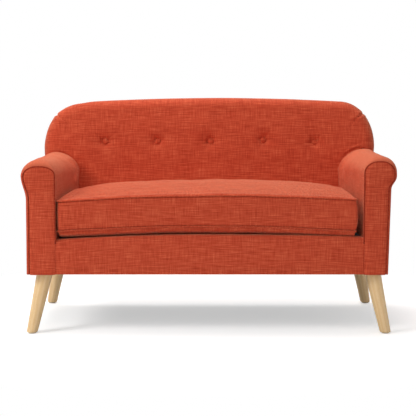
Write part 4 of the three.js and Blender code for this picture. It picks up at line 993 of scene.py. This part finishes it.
x = np.concatenate([edge_x + 0 * band, edge_x + in_x * roll_in, face_x])
h = np.concatenate([edge_h + 0 * band, edge_h + in_h * roll_in, face_h])
side_t = back_thickness(edge_h) - EDGE_ROLL
rolled = back_thickness(h[BAND_ROWS:edge_rows]) - EDGE_ROLL + EDGE_ROLL * np.sin(theta)
t = np.concatenate([SEAM_OUT + (side_t - SEAM_OUT) * band, rolled, back_thickness(face_h)])
far = np.concatenate([np.zeros((BAND_ROWS, count)), roll_in + 0 * way, EDGE_ROLL + inward * 0.4 + 0 * way])
gather = np.concatenate([smooth(0.2, 1, band), np.ones((ROLL_ROWS, 1)), np.exp(-inward * 0.42 / 0.026)])
pull = 0.0042 * pucker * gather
x, h = x + in_x * pull, h + in_h * pull
crown = 0.005 * smooth(0.30, 0.40, h) * smooth(0.03, 0.14, far) * (1 - (x / 0.66) ** 4)
t = t - pull * 0.6 + crown - tufts(x, h) * smooth(0.0, 0.05, far)
level = np.clip(1 - h / 0.16, 0, 1)
h = h - level * t * math.tan(RAKE)
points = hung(on_back(x, h, t), h)
t = t - arm_welt(points) * smooth(0, 0.012, far)
t = t + 0.0011 * ripple(points, 0.17) + 0.0005 * ripple(points, 0.055)
points = hung(on_back(x, h, t), h)
points[..., 2] = np.maximum(points[..., 2], COVER_FOOT)

unrolled = np.concatenate([
    -(math.pi / 2 - 1) * EDGE_ROLL - (side_t - SEAM_OUT) * (1 - band),
    EDGE_ROLL - EDGE_ROLL * (math.pi / 2 - theta) + 0 * way,
])
flat_x = np.concatenate([edge_x + in_x * unrolled, face_x])
flat_h = np.concatenate([edge_h + in_h * unrolled, face_h])
in_arm = over_arms(points)[1]
cloth = np.stack([flat_x + 3, flat_h], -1)
cover = sheet_of("back_cover_cloth", points, rust_linen, COVER, ~in_arm, turned=True, cloth=cloth)
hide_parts("back_cover")


def half_width(h):
    """Half the back's width at a height: the side, then the corner, then the arch."""
    waist = OUTER + (HALF_WIDTH - OUTER) * np.clip(h / SHOULDER, 0, 1) ** WAIST_POWER
    corner = np.clip((h - SHOULDER) / CORNER_HEIGHT, 0, 1)
    bend = CORNER_START + CORNER_WIDTH * (1 - corner**CORNER_POWER) ** (1 / CORNER_POWER)
    arch = CORNER_START * np.sqrt(np.clip((BACK_HEIGHT - h) / TOP_ARCH, 0, 1))
    return np.where(h < SHOULDER, waist, np.where(corner < 1, bend, arch))


def heights(foot, side_rows, corner_height, arch_height, arch_rows):
    """Rows up the back: even on its side and its arch, closer together towards the corner's top."""
    side, arch = np.linspace(foot, SHOULDER, side_rows)[:-1], np.linspace(0, arch_height, arch_rows)
    corner = corner_height * np.sin(np.linspace(0, math.pi / 2, 60))[:-1]
    return np.concatenate([side, SHOULDER + corner, SHOULDER + corner_height + arch])[:, None]


PANEL_ARCH, FOAM_ARCH, FOAM_START = 0.0209, 0.0205, 0.114
h = heights(0, 60, CORNER_HEIGHT, PANEL_ARCH, 14)
share = np.linspace(-1, 1, 161)[None, :]
x = share * half_width(h)
edge = np.minimum(edge_distance(x, h + 0 * x), 0.1)
out = 0.0004 + 0.0024 * smooth(0.002, 0.03, edge) - 0.0009 * np.exp(-(((edge - 0.006) / 0.002) ** 2))
panel = hung(on_back(x, h, 0.0015 - out), h + 0 * x)
panel = panel + np.array([0, 0.0009, 0]) * ripple(panel, 0.2)[..., None] * smooth(0.01, 0.08, edge)[..., None]
panel[..., 2] = np.maximum(panel[..., 2], COVER_FOOT)
outer_panel = sheet_of("back_outer_cloth", panel, rust_linen, 0.0013,
                       cloth=np.stack(np.broadcast_arrays(x + 5, h), -1))
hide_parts("back_outer_panel")

# The foam stands a little in from the outline, and below the arms' rolls it fits between the arms.
FOAM_EDGE, BETWEEN_ARMS = 0.008, 0.5035
h = heights(FOAM_START, 46, CORNER_HEIGHT - FOAM_EDGE, FOAM_ARCH, 10)
x = share * np.minimum(half_width(h + FOAM_EDGE) - FOAM_EDGE, BETWEEN_ARMS + 0.2 * smooth(0.335, 0.36, h))
depth = np.clip(edge_distance(x, h + 0 * x) - 0.0075, 0, FOAM_ROLL)
front = back_thickness(h) - FOAM_IN - FOAM_ROLL - tufts(x, h)
front = front + np.sqrt(FOAM_ROLL**2 - (FOAM_ROLL - depth) ** 2)
h = h + 0 * x
foam = pad("back_foam_pad", hung(on_back(x, h, front), h), hung(on_back(x, h, WEBBING + 0 * x), h), cut_foam)
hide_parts("back_foam")

# Buttons.
# Five domed metal shells in the cover cloth, whose edge is pleated in behind them; the pleats and twine take
# a darker copy of the cloth, painted shade under the shell.
# Waxed twine ties each through the foam to the webbing.
turn = np.linspace(0, 2 * math.pi, 65)[:-1][None, :]
seat = back_thickness(BUTTON_ROW) - TUFT
dome = np.linspace(0.002, 1, 14)
flange = np.array([0.0113, 0.0117, 0.0121, 0.0128, 0.0135, 0.0137, 0.0134, 0.012, 0.006])
flange_rise = np.array([0.0048, 0.0034, 0.0026, 0.0027, 0.0024, 0.0018, 0.001, 0.0005, 0.0004])
twine = np.linspace(flange_rise[-1], WEBBING - seat, 6)
radius = np.concatenate([0.0105 * dome, flange, np.full(6, 0.0015), [0.00001]])[:, None]
rise = np.concatenate([0.0058 + 0.0040 * (1 - dome**2.4), flange_rise, twine, twine[-1:]])[:, None]
rim = smooth(0.009, 0.0125, radius) * (rise > 0.0003)
for number, place in enumerate(BUTTONS):
    pleats = radius * (1 + rim * (0.022 * np.sin(turn * 17 + 2 * np.sin(turn * 3 + number)) - 0.01))
    away, up = pleats * np.cos(turn), pleats * np.sin(turn) + BUTTON_RISE[number]
    lean = 0.0005 * np.sin(turn + number * 2.1) * rim
    button = surface(
        f"back_button_cloth_{number + 1}",
        hung(on_back(place + away, BUTTON_ROW + up, seat + rise + lean), np.full(pleats.shape, BUTTON_ROW)),
        rust_linen, np.stack([away + number * 0.31, up + 0.7], -1), around=True,
    )
    # The rows from the rim down take the darker cloth: painted shade under the shell.
    button.data.materials.append(painted_shade_linen)
    dark = (np.arange(len(button.data.polygons)) // turn.size >= dome.size).astype(np.int32)
    button.data.polygons.foreach_set("material_index", dark)
    weld(button)
    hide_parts(f"back_button_{number + 1}")

# Seat cushion.
# A foam block wrapped in fibre, in a boxed cover: a top and a bottom panel sewn to one border.
# The panels stand up in a crown, and every seam is piped and slightly gathered.
CUSHION_FRONT, CUSHION_GAP, LOW_SEAM, TOP_SEAM, ARCH = -0.358, 0.008, 0.358, 0.461, 0.0165
CROWN, SAG, DRAW_IN, BULGE, PUSHED, TILT = 0.0255, 0.050, 0.005, 0.006, -0.007, 0.003
CUSHION_HALF, CUSHION_TAPER, CUSHION_MIDDLE, PLAN_LEVEL = 0.515, 0.0145, 0.262, 0.46
COLUMNS, ROWS, BORDER_ROWS, ZIP_ROW = 190, 104, 19, 9


def cushion_plan(a, b, z, inset=0.0):
    """A place on the cushion from shares across and back, -1 to 1, with rounded corners.

    The high powers round a corner: they pull only the last few millimetres of each side in.
    """
    half = CUSHION_HALF - CUSHION_TAPER * (b + 1) - inset
    x = PUSHED * (1 - b) / 2 + a * (1 - 0.005 * abs(b) ** 44) * (half - DRAW_IN * (1 - b**2) * a**2)
    front = CUSHION_FRONT + inset + DRAW_IN * (1 - a**2)
    rear = back_plane(z) - CUSHION_GAP - inset
    return x, front + (rear - front) * (b * (1 - 0.019 * abs(a) ** 86) + 1) / 2


def seam_height(a, b, low, x):
    """The seams arch with the panels, waver a little, and sink at the rear corners."""
    waver = 0.0006 * np.sin(x * 17 + 4 * low) + 0.0004 * np.sin(x * 41 + 1 + low)
    sunk = 0.009 * smooth(0.72, 1, abs(a)) * smooth(0.1, 1, b)
    return (LOW_SEAM if low else TOP_SEAM + TILT * a - sunk) + ARCH * (1 - a**2) + waver * (1 - a**8)


def closer_at_ends(count):
    """Shares from -1 to 1 that lie closer together towards both ends."""
    even = np.linspace(-1, 1, count)
    return 0.72 * even + 0.28 * np.sin(even * math.pi / 2)


a, b = closer_at_ends(COLUMNS)[None, :], closer_at_ends(ROWS)[:, None]
flat_x, flat_y = cushion_plan(a, b, PLAN_LEVEL)
from_side, from_front = (1 - abs(a)) * CUSHION_HALF, (1 - abs(b)) * CUSHION_MIDDLE
edge = np.minimum(from_side, from_front)


def panel(low, inset=0.0):
    """The crown is a low power of the way in from both pairs of sides, which rounds it at the seam."""
    seam = seam_height(a, b, low, flat_x)
    if low:
        z = seam - SAG * (1 - a**2) ** 0.05 * (1 - b**2) ** 0.36 + inset
        z = np.maximum(z, deck_top(flat_x) + 0.0008 + inset)
    else:
        z = seam + CROWN * (1 - a**2) ** 0.14 * (1 - b**2) ** 0.40 - inset
    x, y = cushion_plan(a, b, seam, inset)
    points = np.stack(np.broadcast_arrays(x, y, z), -1)
    along_seam = np.where(from_front < from_side, flat_x, flat_y)
    pleat = np.sin(along_seam / 0.0023 + 2.2 * np.sin(along_seam / 0.021 + 3 * low))
    gather = 0.0007 * pleat * np.exp(-edge / 0.013) * smooth(0, 0.004, edge)
    soft = 0.0008 * ripple(points + 2, 0.16) + 0.0005 * ripple(points + 5, 0.05)
    if not low:
        points[..., 2] += blown
    if not (low or inset):
        points[..., 2] += gather + soft * smooth(0, 0.05, edge)
    return points


def blow(rows=45, columns=89):
    """Cloth simulation of the crown, held along its seams with 1.5 % of cloth to spare.

    A closed shell, the panel over a flat sheet, is blown up for 20 frames. A share of the way that
    each place rose or sank, at most 3.5 mm, is read off the result between its four nearest points.
    """
    pick_b, pick_a = np.linspace(0, ROWS - 1, rows), np.linspace(0, COLUMNS - 1, columns)
    row_b, row_a = np.rint(pick_b).astype(int), np.rint(pick_a).astype(int)
    upper = panel(False, 0.0001)[np.ix_(row_b, row_a)]
    under = upper * np.array([1, 1, 0]) + np.array([0, 0, 0.43])
    grid, layer = np.arange(rows * columns).reshape(rows, columns), rows * columns
    quads = np.stack([grid[:-1, :-1], grid[:-1, 1:], grid[1:, 1:], grid[1:, :-1]], -1).reshape(-1, 4)
    loop = np.concatenate([grid[0], grid[1:, -1], grid[-1, -2::-1], grid[-2:0:-1, 0]])
    ahead = np.roll(loop, -1)
    walls = np.stack([ahead, loop, loop + layer, ahead + layer], -1)
    faces = np.concatenate([quads, quads[:, ::-1] + layer, walls])
    mesh = bpy.data.meshes.new("crown_trial")
    mesh.from_pydata(np.concatenate([upper, under]).reshape(-1, 3).tolist(), [], faces.tolist())
    shell = bpy.data.objects.new("crown_trial", mesh)
    bpy.context.scene.collection.objects.link(shell)
    held = shell.vertex_groups.new(name="held")
    held.add(loop.tolist() + list(range(layer, 2 * layer)), 1.0, "REPLACE")
    cloth = shell.modifiers.new("cloth", "CLOTH")
    setup = cloth.settings
    setup.vertex_group_mass, setup.quality, setup.mass = "held", 6, 0.2
    setup.tension_stiffness = setup.compression_stiffness = 18
    setup.shear_stiffness, setup.bending_stiffness = 8, 1.2
    setup.shrink_min, setup.use_pressure, setup.uniform_pressure_force = -0.015, True, 4
    setup.effector_weights.gravity = 0
    cloth.point_cache.frame_start, cloth.point_cache.frame_end = 1, 20
    scene = bpy.context.scene
    for number in range(1, 21):
        scene.frame_set(number)
        bpy.context.view_layer.update()
    result = shell.evaluated_get(bpy.context.evaluated_depsgraph_get())
    places = np.empty(len(result.data.vertices) * 3, np.float32)
    result.data.vertices.foreach_get("co", places)
    scene.frame_set(1)
    bpy.data.objects.remove(shell)
    rose = places.reshape(-1, 3)[:layer, 2].reshape(rows, columns) - upper[..., 2]
    rose = np.clip((rose - np.median(rose)) * 0.18, -0.0035, 0.0035)
    along = np.stack([np.interp(np.arange(COLUMNS), pick_a, line) for line in rose])
    full = np.stack([np.interp(np.arange(ROWS), pick_b, line) for line in along.T], 1)
    return full * smooth(0, 0.03, edge)


blown = 0.0
blown = blow()
crown_linen = linen("crown_linen", *RUST, slub=1.4)
top_panel = sheet_of("seat_cushion_top", panel(False), crown_linen, COVER, body="cushion",
                     cloth=np.stack(np.broadcast_arrays(flat_x + 7, flat_y), -1))
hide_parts("cushion_cover")
bottom_panel = sheet_of("seat_cushion_bottom", panel(True), rust_linen, COVER, turned=True, body="cushion",
                        cloth=np.stack(np.broadcast_arrays(flat_x + 9, flat_y), -1))

rim_a = np.concatenate([a[0], np.ones(ROWS - 1), a[0, -2::-1], -np.ones(ROWS - 2)])
rim_b = np.concatenate([-np.ones(COLUMNS), b[1:, 0], np.ones(COLUMNS - 1), b[-2:0:-1, 0]])
flat_rim = np.stack(cushion_plan(rim_a, rim_b, PLAN_LEVEL), -1)
heading = np.roll(flat_rim, -1, 0) - np.roll(flat_rim, 1, 0)
heading /= np.linalg.norm(heading, axis=1, keepdims=True)
out_x, out_y = heading[:, 1], -heading[:, 0]
step = np.linalg.norm(np.diff(flat_rim, axis=0, prepend=flat_rim[:1]), axis=1)
rim_way = np.cumsum(step)
share = np.linspace(0, 1, BORDER_ROWS)[:, None]
low_z, top_z = [seam_height(rim_a, rim_b, low, flat_rim[:, 0]) for low in (True, False)]
z = low_z + (top_z - low_z) * share
ZIP_Z, ZIP_REACH, ZIP_LIP = 0.417, 0.444, 0.009
at_zip = (rim_b > 0.99) * (1 - smooth(ZIP_REACH, 0.485, abs(flat_rim[:, 0])))
# At the zip the rows lie closer together: the seam, the slot's two lips, and the other seam are 0 to 3.
stage = np.interp(share[:, 0], share[[0, ZIP_ROW - 1, ZIP_ROW + 1, -1], 0], [0, 1, 2, 3])[:, None]
under_zip = low_z + (ZIP_Z - ZIP_LIP - low_z) * stage
over_zip = ZIP_Z + ZIP_LIP + (top_z - ZIP_Z - ZIP_LIP) * (stage - 2)
across_zip = ZIP_Z - ZIP_LIP + 2 * ZIP_LIP * (stage - 1)
zip_z = np.where(stage < 1, under_zip, np.where(stage > 2, over_zip, across_zip))
z = z + (zip_z - z) * at_zip
x, y = cushion_plan(rim_a, rim_b, z)
full = np.select([rim_b > 0.99, rim_a < -0.99, rim_a > 0.99], [0.0, 0.3, 1.4], 1.0)
swell = 4 * BULGE * share * (1 - share) * full
seam_gap = np.minimum(share, 1 - share) * 0.103
pleat = np.sin(rim_way / 0.0024 + 2 * np.sin(rim_way / 0.018))
swell = swell + 0.0006 * pleat * np.exp(-seam_gap / 0.011) * smooth(0, 0.004, seam_gap) * (1 - at_zip)
x, y = x + out_x * swell, y + out_y * swell
border = np.stack([x, y, z], -1)
soft = 0.0012 * ripple(border + 3, 0.14, (1, 1, 0.7)) * np.sin(math.pi * share) * (1 - at_zip)
border[..., 0] += out_x * soft
border[..., 1] += out_y * soft
keep = np.ones(border.shape[:2], bool)
keep[ZIP_ROW] = ~((rim_b > 0.99) & (abs(flat_rim[:, 0]) < ZIP_REACH))
border = np.concatenate([border, border[:, :1]], 1)
keep = np.concatenate([keep, keep[:, :1]], 1)
cloth = np.stack(np.broadcast_arrays(np.append(rim_way, rim_way[-1] + step[1]), border[..., 2] + 11), -1)
side_band = sheet_of("seat_cushion_border", border, rust_linen, COVER, keep, body="cushion", cloth=cloth)

low = panel(True, 0.006)
low[..., 2] = np.maximum(low[..., 2], deck_top(low[..., 0]) + 0.004)
core = pad("seat_cushion_foam", panel(False, 0.006), low, cut_foam, body="cushion")
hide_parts("cushion_foam")

finish = Finish("zip_tape_cloth")
spot = finish.node("ShaderNodeTexCoord").part("Object")
x = finish.node("ShaderNodeSeparateXYZ", None, {0: spot})
up = x.part(2) - ZIP_Z
tooth = (x * (2 * math.pi / 0.0025) + (up > 0.0) * math.pi).sine() > -0.25
chain = 1 - (abs(up) > 0.0026)
twill = ((x + up) * (math.pi / 0.0006)).sine() * 0.5 + 0.5
tape = finish.blend(twill, (0.20, 0.022, 0.010, 1), (0.34, 0.045, 0.020, 1))
tone = finish.blend(tooth * chain, tape, (0.10, 0.012, 0.006, 1))
finish.shell(tone, tooth * chain + twill * 0.15, 0.0007, Roughness=0.75 - tooth * chain * 0.35)
refinish(["cushion_zip"], finish.material)
refinish(["zip_slider"], metal("zip_slider_metal", (0.42, 0.34, 0.24), 0.34, 0.12))

for name, low in [("top", False), ("bottom", True)]:
    z = seam_height(rim_a, rim_b, low, flat_rim[:, 0])
    x, y = cushion_plan(rim_a, rim_b, z, -PIPING_OUT)
    course = np.stack([x, y, z + (-PIPING_OUT if low else PIPING_OUT)], -1)
    cord = piping(f"seat_cushion_piping_{name}", course, (0, 0, 1), rust_linen, True, "cushion")
    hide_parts(f"cushion_piping_{name}")

# Floor, lights and camera.
# A white sweep under soft lamps, seen from straight in front, a little above the arms.
# The two strongest lamps stand above and to the left, so that the right-hand sides are darker.


def lamp(name, place, aim, size, power, colour=(1.0, 0.985, 0.97)):
    """A soft square lamp at a place, turned to look at a point."""
    light = bpy.data.lights.new(name, "AREA")
    light.shape, light.size, light.energy, light.color = "SQUARE", size, power, colour
    made = bpy.data.objects.new(name, light)
    made.location = place
    heading = mathutils.Vector(aim) - mathutils.Vector(place)
    made.rotation_euler = heading.to_track_quat("-Z", "Y").to_euler()
    bpy.context.scene.collection.objects.link(made)


lamp("lamp_left", (-3.0, -1.9, 2.7), (0.0, -0.1, 0.45), 1.4, 74)
lamp("lamp_top", (-0.3, 0.7, 3.1), (0.0, -0.1, 0.4), 2.2, 77)
lamp("lamp_front", (-0.3, -3.7, 3.1), (0.0, 0.0, 0.5), 2.2, 19)
lamp("lamp_right", (2.8, -2.8, 1.5), (0.0, 0.0, 0.5), 1.6, 8)

world = bpy.data.worlds.new("studio")
bpy.context.scene.world = world
world.use_nodes = True
sky = world.node_tree.nodes["Background"]
sky.inputs["Color"].default_value = (1, 1, 1, 1)
seen = Finish.on(world.node_tree)
ray = seen.node("ShaderNodeLightPath")
bright = ray.math("MAXIMUM", ray, ray.part("Is Glossy Ray"))
bright = ray.math("MAXIMUM", bright, ray.part("Is Transmission Ray"))
seen.tree.links.new((bright * 0.70 + 0.30).output, sky.inputs["Strength"])

# The camera sees the sweep as white, and only the settee's shadow on it near the legs.
white = Finish("white_sweep")
spot = white.node("ShaderNodeTexCoord").part("Object")
speck = white.noise(spot, 3.0)
tone = white.blend(speck, (0.93, 0.93, 0.93, 1), (0.90, 0.90, 0.90, 1))
matt = white.node("ShaderNodeBsdfDiffuse", None, {"Color": tone})
glow = white.node("ShaderNodeEmission", None, {"Color": (1, 1, 1, 1), "Strength": 0.46})
near = white.node("ShaderNodeAddShader", None, {0: matt, 1: glow})
plain = white.node("ShaderNodeEmission", None, {"Color": (1, 1, 1, 1), "Strength": 1.0})
x = white.node("ShaderNodeSeparateXYZ", None, {0: spot})
away = ((x * 0.9) ** 2 + x.part(1) ** 2) ** 0.5
fade = white.node("ShaderNodeMapRange", {"interpolation_type": "SMOOTHSTEP"}, {0: away, 1: 0.75, 2: 1.25})
to_camera = white.node("ShaderNodeMixShader", None, {0: fade, 1: near, 2: plain})
ray = white.node("ShaderNodeLightPath")
shown = white.node("ShaderNodeMixShader", None, {0: ray, 1: matt, 2: to_camera})
white.node("ShaderNodeOutputMaterial", None, {0: shown}, None)
x, y = np.meshgrid(np.linspace(-9, 9, 19), np.linspace(-9, 9, 19))
floor = surface("floor", np.stack([x, y, 0 * x], -1), white.material, body=None)

CAMERA_Y, EYE_LEVEL, PITCH, FOCAL_LENGTH, SHIFT = -4.86, 0.918, 6.095, 114.18, -0.00183
lens = bpy.data.cameras.new("camera")
lens.sensor_width, lens.lens, lens.shift_x, lens.clip_end = 36, FOCAL_LENGTH, SHIFT, 60
camera = bpy.data.objects.new("camera", lens)
camera.location = (0, CAMERA_Y, EYE_LEVEL)
camera.rotation_euler = (math.radians(90 - PITCH), 0, 0)
bpy.context.scene.collection.objects.link(camera)
bpy.context.scene.camera = camera
bpy.context.scene.view_settings.view_transform = "Standard"
